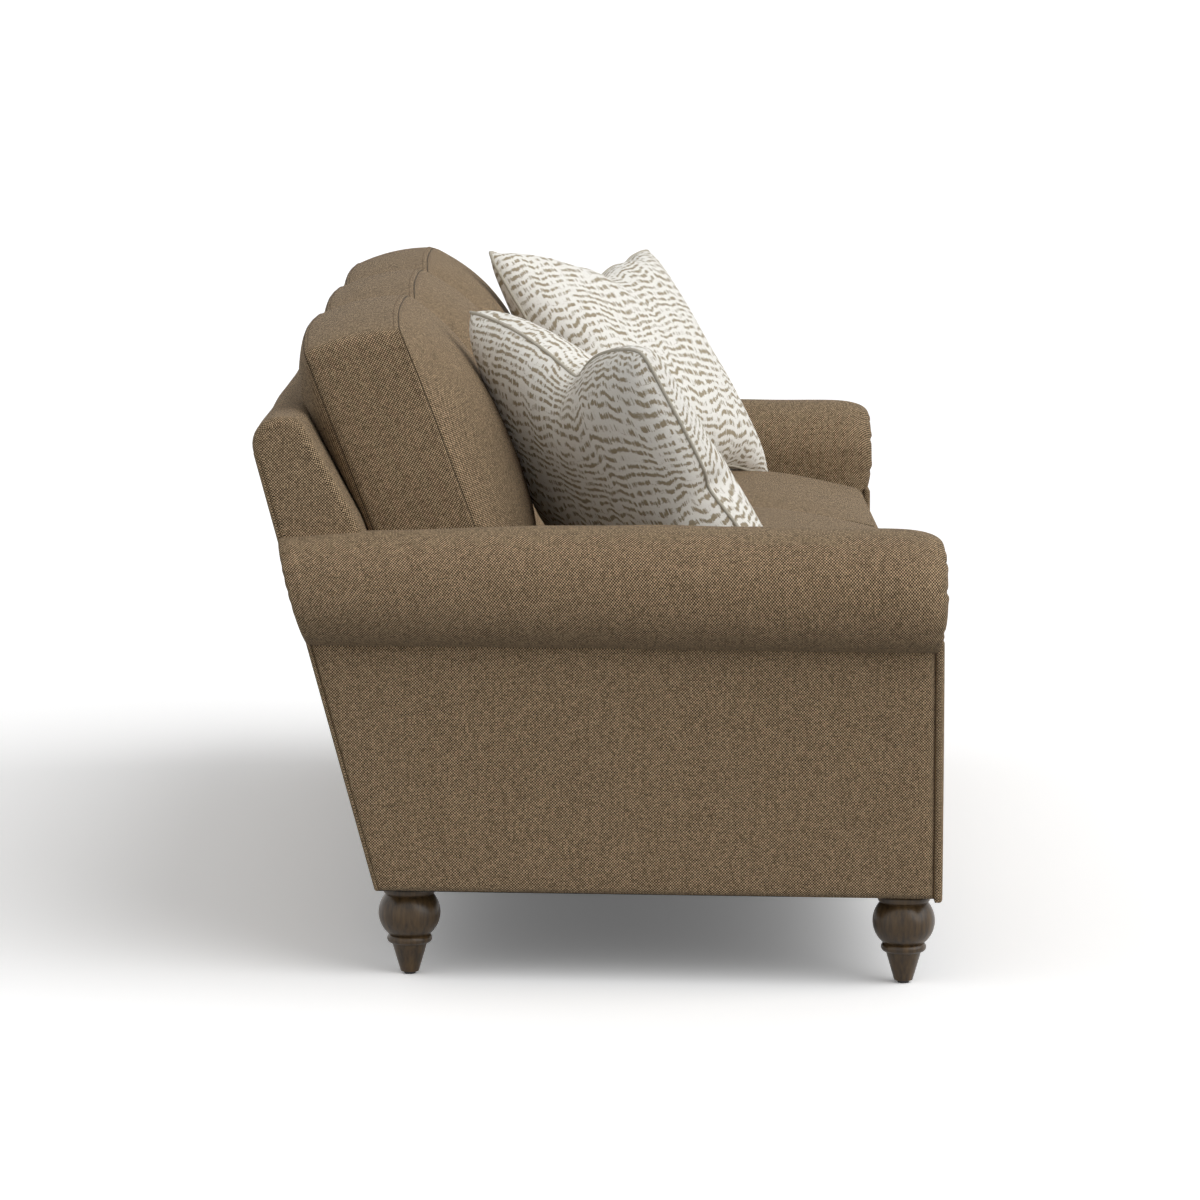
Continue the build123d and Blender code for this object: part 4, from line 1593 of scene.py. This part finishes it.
@dataclass
class Base:
    """Front border, seat deck and the plain CAD nodes below and inside."""

    border_front: float = -0.49

    def border(self) -> PaddedBoard:
        """Front border between the arms.

        Returns:
            The board.
        """
        half, low, high = BODY.seat_half, BODY.leg_height, BODY.deck_top
        places = ((-half, low), (half, low), (half, high), (-half, high))
        corners = [(x, self.border_front, z) for x, z in places]
        sizes = {"edge": 0.005, "crown": 0.001, "step": 0.04}
        return PaddedBoard("front_border_cover", corners, 0.008, **sizes)

    def deck(self) -> PaddedBoard:
        """Seat deck below the cushions.

        Returns:
            The board.
        """
        half, front, rear = BODY.seat_half, BODY.frame_front, BODY.inside_y(BODY.rail_top)
        places = ((-half, front), (half, front), (half, rear), (-half, rear))
        corners = [(x, y, BODY.deck_top) for x, y in places]
        return PaddedBoard("seat_deck_cover", corners, 0.025, step=0.06)

    def dress(self, finishes: Finishes) -> None:
        """Make the padded pieces and finish every CAD node.

        Args:
            finishes: the finishes to use.
        """
        border, deck = (board.build(finishes.tweed) for board in (self.border(), self.deck()))
        attach(border, "frame", "sofa_fabric", "front_border", fill=FIRM)
        attach(deck, "frame", "deck_cloth", "seat_deck", fill=LOOSE)
        slots = {entry["node"]: entry["material_slot"] for entry in frame["record"]["subparts"]}
        choice = {
            "sofa_fabric": finishes.tweed,
            "pillow_fabric": finishes.print_cloth,
            "leg_wood": finishes.leg,
            "frame_wood": finishes.board,
            "steel": finishes.steel,
            "webbing": finishes.webbing,
            "black_cloth": finishes.lining,
            "deck_cloth": finishes.tweed,
            "foam": finishes.foam,
            "glide_plastic": finishes.glide,
        }
        for node, piece in frame["nodes"].items():
            piece.data.materials.clear()
            piece.data.materials.append(choice[slots[node]])


# Cushions


@dataclass
class BoxCushion:
    """Boxed cushion: a crowned panel, a plain panel behind it and boxing between them.

    The four corners of its section, in Y and Z, are where the crowned panel starts (a) and ends
    (b) and where the plain panel ends (c) and starts (d). The boxing bulges by its own amount at
    each of its four sides, first, right, last and left.
    """

    name: str
    left: float
    right: float
    a: tuple[float, float]
    b: tuple[float, float]
    c: tuple[float, float]
    d: tuple[float, float]
    crown: float
    end_crown: float
    plain_crown: float
    bulges: tuple[float, float, float, float]
    corner: float
    rise: float = 0.0
    top_power: float = 2.15
    low_power: float = 2.15
    rise_power: float = 3.0
    crown_power: float = 4.0
    plain_powers: tuple[float, float] = (8.0, 6.0)
    blur: int = 5
    step: float = 0.016
    above_cloth: float = 0.0004
    first_row: int = 0
    sewing: Sewing = field(init=False)

    def fullness(self, u: np.ndarray, power: float) -> np.ndarray:
        """Share of the crown along the length, which goes from -1 to 1."""
        return 1 - (np.abs(u).clip(0, 1)) ** power

    def panels(self) -> tuple[np.ndarray, np.ndarray]:
        """Points of the crowned and the plain panel.

        Returns:
            The two grids, rows across and columns along.
        """
        wide, middle = 0.5 * (self.right - self.left), 0.5 * (self.right + self.left)
        a, b, c, d = (np.array(corner) for corner in (self.a, self.b, self.c, self.d))
        tall = np.linalg.norm(b - a)
        across, along = spread(2 * wide, self.step) - wide, spread(tall, self.step) - tall / 2
        x, s = np.meshgrid(across, along, indexing="ij")
        x, s = soft_corners(x, s, wide, tall / 2, self.corner)
        u, t = x / wide, s / tall + 0.5
        v = 2 * t - 1
        way = (b - a) / tall
        out = np.array([way[1], -way[0]])
        out *= np.sign(np.dot(out, a - d))
        lift = (self.rise * self.fullness(u, self.rise_power))[..., None] * way
        top, low = self.fullness(v, self.top_power), self.fullness(v, self.low_power)
        more = (self.crown - self.end_crown) * self.fullness(u, self.crown_power)
        crown = self.end_crown + more
        swell = crown * np.where(t > 0.5, top, low)
        wide_power, tall_power = self.plain_powers
        plain = self.plain_crown * self.fullness(u, wide_power) * self.fullness(v, tall_power)
        front = a + (b - a + lift) * t[..., None] + out * swell[..., None]
        rear = d + (c - d + lift) * t[..., None] - out * plain[..., None]
        return tuple(np.concatenate([(x + middle)[..., None], yz], axis=2) for yz in (front, rear))

    def build(self, material: bpy.types.Material) -> bpy.types.Object:
        """Sew the cushion, before it is filled.

        Args:
            material: its finish.

        Returns:
            The new piece.
        """
        front, rear = self.panels()
        rows, columns = front.shape[:2]
        r, c = np.arange(rows), np.arange(columns)
        line = [(r[:-1], 0 * r[:-1]), (0 * c[:-1] + rows - 1, c[:-1])]
        line += [(r[:0:-1], 0 * r[:0:-1] + columns - 1), (0 * c[:0:-1], c[:0:-1])]
        index = tuple(np.concatenate(part) for part in zip(*line))
        bulge = np.repeat(self.bulges, [len(part[0]) for part in line])
        rolls = range(-self.blur, self.blur + 1)
        bulge = np.mean([np.roll(bulge, k) for k in rolls], axis=0)
        near, far = front[index], rear[index]
        deep = math.dist(self.b, self.c)
        share = (spread(deep, self.step) / deep)[None, :, None]
        push = np.cross(np.roll(near, -1, axis=0) - np.roll(near, 1, axis=0), far - near)
        push /= np.maximum(np.linalg.norm(push, axis=1, keepdims=True), 1e-9)
        push *= np.sign(np.sum(push * (near - near.mean(axis=0))))
        strip = near[:, None] + (far - near)[:, None] * share
        strip += push[:, None] * (bulge[:, None, None] * 4 * share * (1 - share))
        self.sewing = Sewing(self.name)
        self.sewing.panel("crowned", front, "abcd")
        self.sewing.panel("plain", rear, "abcd")
        self.sewing.panel("boxing", np.concatenate([strip, strip[:1]]), "cd")
        self.first_row = rows
        return self.sewing.sewn(material)

    def pinch(self, piece: bpy.types.Object, depth: float) -> None:
        """Draw the seams in a little, as sewn thread does.

        Args:
            piece: the filled cushion.
            depth: how far.
        """
        group = piece.vertex_groups[SEAMS].index
        held = np.array([any(g.group == group for g in v.groups) for v in piece.data.vertices])
        points = vertex_rows(piece.data)
        points[held] -= vertex_rows(piece.data, "normal")[held] * depth
        place(piece, points)

    def seam_paths(self, piece: bpy.types.Object, offset: int) -> list[np.ndarray]:
        """Lines on the boxing beside its two seams.

        Args:
            piece: the filled cushion.
            offset: how many grid lines from the seam.

        Returns:
            Rows of points, a little above the cloth.
        """
        points = vertex_rows(piece.data) + vertex_rows(piece.data, "normal") * self.above_cloth
        grid = self.sewing.grids["boxing"][self.first_row :]
        return [points[grid[:, offset]], points[grid[:, -1 - offset]]]


# Sizes of the dark cord that paints the shadow in a cushion's seam, and of the stitches beside it
SEAM_SHADOW_SIZES = {"Radius": 0.0009, "Step": 0.006}
STITCH_SIZES = {"Radius": 0.0005, "Step": 0.0065, "Length": 0.0042}


@dataclass
class LooseCushions:
    """Three loose box cushions of one kind; each kind cuts and limits its own.

    Seams counts the seams that are seen, and slack is how far the ends may pass their node.
    """

    kind: str = ""
    fill: float = 0.8
    drawn_in: float = 0.0022
    seams: int = 1
    slack: float = 0.0
    apart: float = 0.002
    stuffing: Stuffing = Stuffing(3.0, 0.012)
    pieces: list[tuple[BoxCushion, bpy.types.Object, Seat]] = field(default_factory=list)

    def node(self, seat: Seat) -> str:
        """Name of the CAD node of a cover."""
        return f"{self.kind}_cushion_cover_{seat.value}"

    def cut(self, seat: Seat, low: Sequence[float], high: Sequence[float]) -> dict[str, object]:
        """Section and fullness of one cushion, from the low and high corner of its node."""
        raise NotImplementedError

    def wall(self, heights: np.ndarray, high: Sequence[float]) -> float | np.ndarray:
        """How far back a cushion may reach at some heights, or at all of them."""
        raise NotImplementedError

    def build(self, finishes: Finishes) -> list[Filled]:
        """Sew the covers.

        Args:
            finishes: the finishes to use.

        Returns:
            The covers and how they are filled.
        """
        for seat in Seat:
            low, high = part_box(self.node(seat))
            cushion = BoxCushion(
                name=f"{self.kind}_cushion_{seat.value}",
                left=low[0] + self.apart,
                right=high[0] - self.apart,
                **self.cut(seat, low, high),
            )
            self.pieces.append((cushion, cushion.build(finishes.tweed), seat))
        return [(piece, self.stuffing) for _, piece, _ in self.pieces]

    def finish(self, finishes: Finishes) -> None:
        """Shape the filled cushions and fix them to their bodies.

        Args:
            finishes: the finishes to use.
        """
        for cushion, piece, seat in self.pieces:
            low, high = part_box(self.node(seat))
            points = vertex_rows(piece.data)
            points[:, 0] = np.clip(points[:, 0], low[0] - self.slack, high[0] + self.slack)
            points[:, 2] = np.maximum(points[:, 2], low[2])
            points[:, 1] = np.minimum(points[:, 1], self.wall(points[:, 2], high))
            place(piece, points)
            cushion.pinch(piece, self.drawn_in)
            lines, rows = (cushion.seam_paths(piece, k)[: self.seams] for k in (0, 2))
            refine(piece)
            attach(piece, cushion.name, "sofa_fabric", self.node(seat), fill=self.fill)
            # The seam cord is painted shadow, a dark line where the seam's groove is in shade; the
            # stitches are real thread
            for name, trim, paths, finish, sizes in (
                ("seam", Trim.CORD, lines, finishes.seam, SEAM_SHADOW_SIZES),
                ("stitching", Trim.STITCHES, rows, finishes.thread, STITCH_SIZES),
            ):
                made = follow(f"{self.kind}_{name}_{seat.value}", trim, paths, finish, **sizes)
                attach(made, cushion.name, "sofa_fabric")


@dataclass
class SeatCushions(LooseCushions):
    """Three loose seat cushions on the deck."""

    kind: str = "seat"
    seam: float = 0.5123
    front_top: float = -0.474
    front_low: float = -0.486
    rear_gap: float = 0.001

    def cut(self, seat: Seat, low: Sequence[float], high: Sequence[float]) -> dict[str, object]:
        """Section and fullness of one cushion.

        Args:
            seat: which one.
            low: low corner of its node.
            high: high corner of its node.

        Returns:
            The fields of its box cushion, apart from its name and ends.
        """
        rear = high[1] - self.rear_gap
        return {
            "a": (self.front_top, self.seam),
            "b": (rear, self.seam),
            "c": (rear, low[2]),
            "d": (self.front_low, low[2]),
            "crown": 0.052,
            "end_crown": 0.03,
            "plain_crown": 0.0,
            "bulges": (0.006, 0.002, 0.0, 0.002),
            "corner": 0.022,
        }

    def wall(self, heights: np.ndarray, high: Sequence[float]) -> float:
        """The rear of the cushion's node, at every height."""
        return high[1]


@dataclass
class BackCushions(LooseCushions):
    """Three loose back cushions with boxed sides; crowns and low powers go from left to right."""

    kind: str = "back"
    fill: float = 0.75
    drawn_in: float = 0.0024
    seams: int = 2
    slack: float = 0.0005
    boxing: float = 0.132
    rear_crown: float = 0.008
    gap: float = 0.0003
    front_top: float = 0.943
    rear_top: float = 0.91
    lean: float = 0.012
    clear: float = 0.0008
    crowns: Sequence[float] = (0.081, 0.1, 0.1)
    low_powers: Sequence[float] = (1.4, 1.5, 1.5)

    def rear_y(self, z: float) -> float:
        """Rear seam at a height."""
        return float(BODY.inside_y(z)) - (self.rear_crown + self.gap) / math.cos(BODY.pitch)

    def front_y(self, z: float) -> float:
        """Front seam at a height."""
        return self.rear_y(z) - self.boxing / math.cos(BODY.pitch)

    def cut(self, seat: Seat, low: Sequence[float], high: Sequence[float]) -> dict[str, object]:
        """Section and fullness of one cushion.

        Args:
            seat: which one.
            low: low corner of its node.
            high: high corner of its node.

        Returns:
            The fields of its box cushion, apart from its name and ends.
        """
        place_in_row = list(Seat).index(seat)
        return {
            "a": (self.front_y(low[2]), low[2]),
            "b": (self.front_y(self.front_top) - self.lean, self.front_top),
            "c": (self.rear_y(self.rear_top), self.rear_top),
            "d": (self.rear_y(low[2]), low[2]),
            "crown": self.crowns[place_in_row],
            "end_crown": 0.004,
            "plain_crown": 0.046,
            "bulges": (0.0, 0.002, 0.009, 0.002),
            "corner": 0.014,
            "rise": 0.022,
            "top_power": 3.4,
            "low_power": self.low_powers[place_in_row],
        }

    def wall(self, heights: np.ndarray, high: Sequence[float]) -> np.ndarray:
        """Just in front of the back, and over its top."""
        return BODY.wall_y(heights) - self.clear


@dataclass
class ThrowPillow:
    """Knife edged pillow with a welt, filled from two flat squares.

    It is turned by yaw, lean and roll, dented in its top edge (chop) and wider below (slump).
    """

    side: Side
    cut: float = 0.5
    width: float = 0.482
    thickness: float = 0.17
    count: int = 44
    yaw: float = math.radians(36.6)
    lean: float = math.radians(35.0)
    roll: float = math.radians(3.0)
    slide: tuple[float, float, float] = (0.0, 0.0, 0.0)
    corner: float = 0.03
    chop: float = 0.042
    chop_at: float = 0.0
    chop_width: float = 0.075
    chop_power: float = 1.25
    chop_from: float = -0.04
    chop_over: float = 0.26
    chop_flat: float = 0.3
    slump: float = 0.05
    slump_over: float = 0.231
    low_full: float = 0.2
    low_over: float = 0.2
    low_power: float = 1.5
    seed: int = 4
    lumps: float = 0.25
    lump_size: float = 0.2
    rear_shift: float = 0.83
    seed_shift: float = 0.37
    ease: float = 0.5
    ease_rounds: int = 14
    flat_rise: float = 0.022
    quick_rise: float = 0.07
    insert_scale: tuple[float, float, float] = (0.95, 0.95, 0.88)
    welt_radius: float = 0.0029
    fill: float = 0.7
    piece: bpy.types.Object = field(init=False)
    sewing: Sewing = field(init=False)

    def build(self, finishes: Finishes) -> Filled:
        """Sew the two squares together.

        Args:
            finishes: the finishes to use.

        Returns:
            The cover and how it is filled.
        """
        half = self.cut / 2
        line = np.linspace(-0.5, 0.5, self.count + 1) * self.cut
        x, y = np.meshgrid(line, line, indexing="ij")
        room = (1 - (2 * x / self.cut) ** 2).clip(0, 1) * (1 - (2 * y / self.cut) ** 2).clip(0, 1)
        x, y = soft_corners(x, y, half, half, self.corner)
        start = self.flat_rise
        flat = np.stack([x, y, 0 * x], axis=2)
        lump = 1 + self.lumps * ripples(flat, self.lump_size, self.seed)
        self.sewing = Sewing("throw_pillow_" + self.side.label)
        # Each square is cut from another place of the printed cloth
        for label, way, apart in (("front", 1, 0.0), ("rear", -1, self.rear_shift)):
            points = np.stack([x, y, way * start * np.sqrt(room) * lump], axis=2)
            cloth = np.stack([x, y], axis=2) + apart + self.seed_shift * self.seed
            self.sewing.panel(label, points, "abcd", cloth=cloth)
        self.piece = self.sewing.sewn(finishes.print_cloth)
        return self.piece, Stuffing(9.0, 0.12, stiffness=25.0, held=False)

    def pose(self) -> Matrix:
        """Resting place of the pillow, in the slant of its CAD node.

        Returns:
            The matrix from its own frame to the sofa's.
        """
        low, high = (Vector(corner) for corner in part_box("throw_pillow_cover_" + self.side.label))
        way = -self.side.value
        flat = math.cos(self.lean)
        facing = Vector(
            (way * math.sin(self.yaw) * flat, -math.cos(self.yaw) * flat, math.sin(self.lean))
        )
        along = Vector((math.cos(self.yaw), way * math.sin(self.yaw), 0.0))
        turn = Matrix((along, facing.cross(along), facing)).transposed().to_4x4()
        spin = Matrix.Rotation(way * self.roll, 4, "Z")
        return Matrix.Translation((low + high) / 2 + Vector(self.slide)) @ turn @ spin

    def shaped(self) -> np.ndarray:
        """Points of the filled pillow, brought to its size, dented and slumped.

        Returns:
            Rows of 3 in the pillow's own frame.
        """
        points = vertex_rows(self.piece.data)
        points[:, :2] *= 0.5 * self.width / np.abs(points[:, :2]).max()
        points[:, 2] *= self.thickness / np.ptp(points[:, 2])
        beside = np.abs(points[:, 0] - self.chop_at) / self.chop_width
        up = np.clip((points[:, 1] - self.chop_from) / self.chop_over, 0, 1)
        dent = np.exp(-(beside**self.chop_power)) * up**2.0
        points[:, 1] -= self.chop * dent
        points[:, 2] *= 1 - self.chop_flat * dent
        points[:, 0] *= 1 - self.slump * np.clip(points[:, 1] / self.slump_over, -1, 1)
        low = np.clip(-points[:, 1] / self.low_over, 0, 1) ** self.low_power
        points[:, 2] *= 1 + self.low_full * low
        return points

    def finish(self, finishes: Finishes) -> None:
        """Shape the filled pillow, lay it in place and sew its welt on.

        Args:
            finishes: the finishes to use.
        """
        label = self.side.label
        body = "throw_pillow_" + label
        eased = self.piece.modifiers.new("eased", "SMOOTH")
        eased.factor, eased.iterations = self.ease, self.ease_rounds
        bake(self.piece)
        points, pose = self.shaped(), np.array(self.pose())
        insert = linked("pillow_insert_" + label, self.piece.data.copy())
        insert.data.name = insert.name
        insert.data.materials[0] = finishes.foam
        for piece, scale in ((insert, self.insert_scale), (self.piece, (1.0, 1.0, 1.0))):
            place(piece, points * np.array(scale) @ pose[:3, :3].T + pose[:3, 3])
        edge = vertex_rows(self.piece.data)[self.rim()]
        refine(self.piece)
        attach(self.piece, body, "pillow_fabric", "throw_pillow_cover_" + label, fill=self.fill)
        sizes = {"Radius": self.welt_radius, "Step": 0.006}
        cloth = finishes.welt_cloth
        welt = follow("pillow_welt_" + label, Trim.CORD, [edge], cloth, closed=True, **sizes)
        attach(welt, body, "pillow_fabric")
        attach(insert, body, "foam", "throw_pillow_insert_" + label, fill=self.fill)

    def rim(self) -> np.ndarray:
        """Points round the sewn edge, in order."""
        grid = self.sewing.grids["front"]
        return np.concatenate([grid[:-1, 0], grid[-1, :-1], grid[:0:-1, -1], grid[0, :0:-1]])


# Studio


@dataclass
class Studio:
    """Pale floor, soft light and the camera of the photograph."""

    camera_at: tuple[float, float, float] = (-7.96, 0.0, 1.4965)
    tilt: float = 7.65
    lens: float = 146.55
    floor_size: float = 300.0
    floor_shade: float = 0.35
    floor_white: float = 1.2
    floor_glow: float = 0.08
    sky: float = 0.42
    lamps: Sequence[tuple[str, tuple[float, float, float], float, float]] = (
        ("key", (-0.36, -0.72, 0.6), 70.0, 1.9),
        ("fill", (-0.6, 0.6, 0.53), 90.0, 0.45),
    )

    def build(self) -> None:
        """Make the stage, the lamps and the camera."""
        scene = bpy.context.scene
        scene.view_settings.view_transform = "Standard"
        self.floor()
        self.world()
        for lamp in self.lamps:
            self.lamp(*lamp)
        data = bpy.data.cameras.new("photo_camera")
        data.lens = self.lens
        data.sensor_width = 36.0
        data.clip_end = 1000.0
        camera = linked("photo_camera", data)
        camera.location = self.camera_at
        camera.rotation_euler = (math.radians(90.0 - self.tilt), 0.0, math.radians(-90.0))
        scene.camera = camera

    def floor(self) -> None:
        """Lay a white floor that keeps the sofa's shadow."""
        mesh = bpy.data.meshes.new("studio_floor")
        corners = ((-1, -1, 0), (1, -1, 0), (1, 1, 0), (-1, 1, 0))
        mesh.from_pydata(np.multiply(corners, self.floor_size).tolist(), [], [(0, 1, 2, 3)])
        floor = linked("studio_floor", mesh)
        material = bpy.data.materials.new("studio_white")
        material.use_nodes = True
        g = Graph(material.node_tree)
        g.tree.nodes.clear()
        seen = g.seen()
        shade = g.blend(seen, self.floor_shade, self.floor_white)
        matte = g.fed("ShaderNodeBsdfDiffuse", {"Color": g.triple(shade, shade, shade)})
        glow = g.fed("ShaderNodeEmission", {"Strength": g.times(seen, self.floor_glow)})
        both = g.fed("ShaderNodeAddShader", {0: matte.outputs[0], 1: glow.outputs[0]})
        g.fed("ShaderNodeOutputMaterial", {"Surface": both.outputs[0]})
        mesh.materials.append(material)

    def world(self) -> None:
        """Light the sofa softly from all round, white where the sky is seen."""
        world = bpy.data.worlds.new("studio")
        world.use_nodes = True
        bpy.context.scene.world = world
        g = Graph(world.node_tree)
        back = world.node_tree.nodes["Background"]
        strength = g.blend(g.seen(), self.sky, 1.0)
        g.feed(back, {"Color": (1.0, 1.0, 1.0, 1.0), "Strength": strength})

    def lamp(self, name: str, towards: Sequence[float], angle: float, strength: float) -> None:
        """Add a far soft lamp.

        Args:
            name: its name.
            towards: the way from the sofa to the lamp.
            angle: how wide it looks, in degrees.
            strength: its strength.
        """
        data = bpy.data.lights.new(name, "SUN")
        data.angle = math.radians(angle)
        data.energy = strength
        linked(name, data).rotation_euler = Vector(towards).to_track_quat("Z", "Y").to_euler()


def main() -> None:
    """Build the sofa's pieces in order."""
    logging.basicConfig(level=logging.INFO, format="%(name)s: %(message)s")
    Studio().build()
    finishes = Finishes()
    near = ThrowPillow(
        Side.LEFT,
        roll=math.radians(7.0),
        slide=(0.0, 0.037, -0.01),
        chop=0.074,
        chop_at=0.002,
        slump=0.13,
    )
    far = ThrowPillow(
        Side.RIGHT, slide=(0.0, 0.008, 0.003), chop=0.05, chop_at=0.025, slump=0.045, seed=9
    )
    seats, backs = SeatCushions(), BackCushions()
    covers = seats.build(finishes) + backs.build(finishes)
    covers += [pillow.build(finishes) for pillow in (near, far)]
    inflate(covers, FILL_FRAMES)
    for group in (seats, backs, near, far):
        group.finish(finishes)
    for side in Side:
        Arm(side).dress(finishes)
    Back().dress(finishes)
    Base().dress(finishes)


if __name__ == "__main__":
    main()
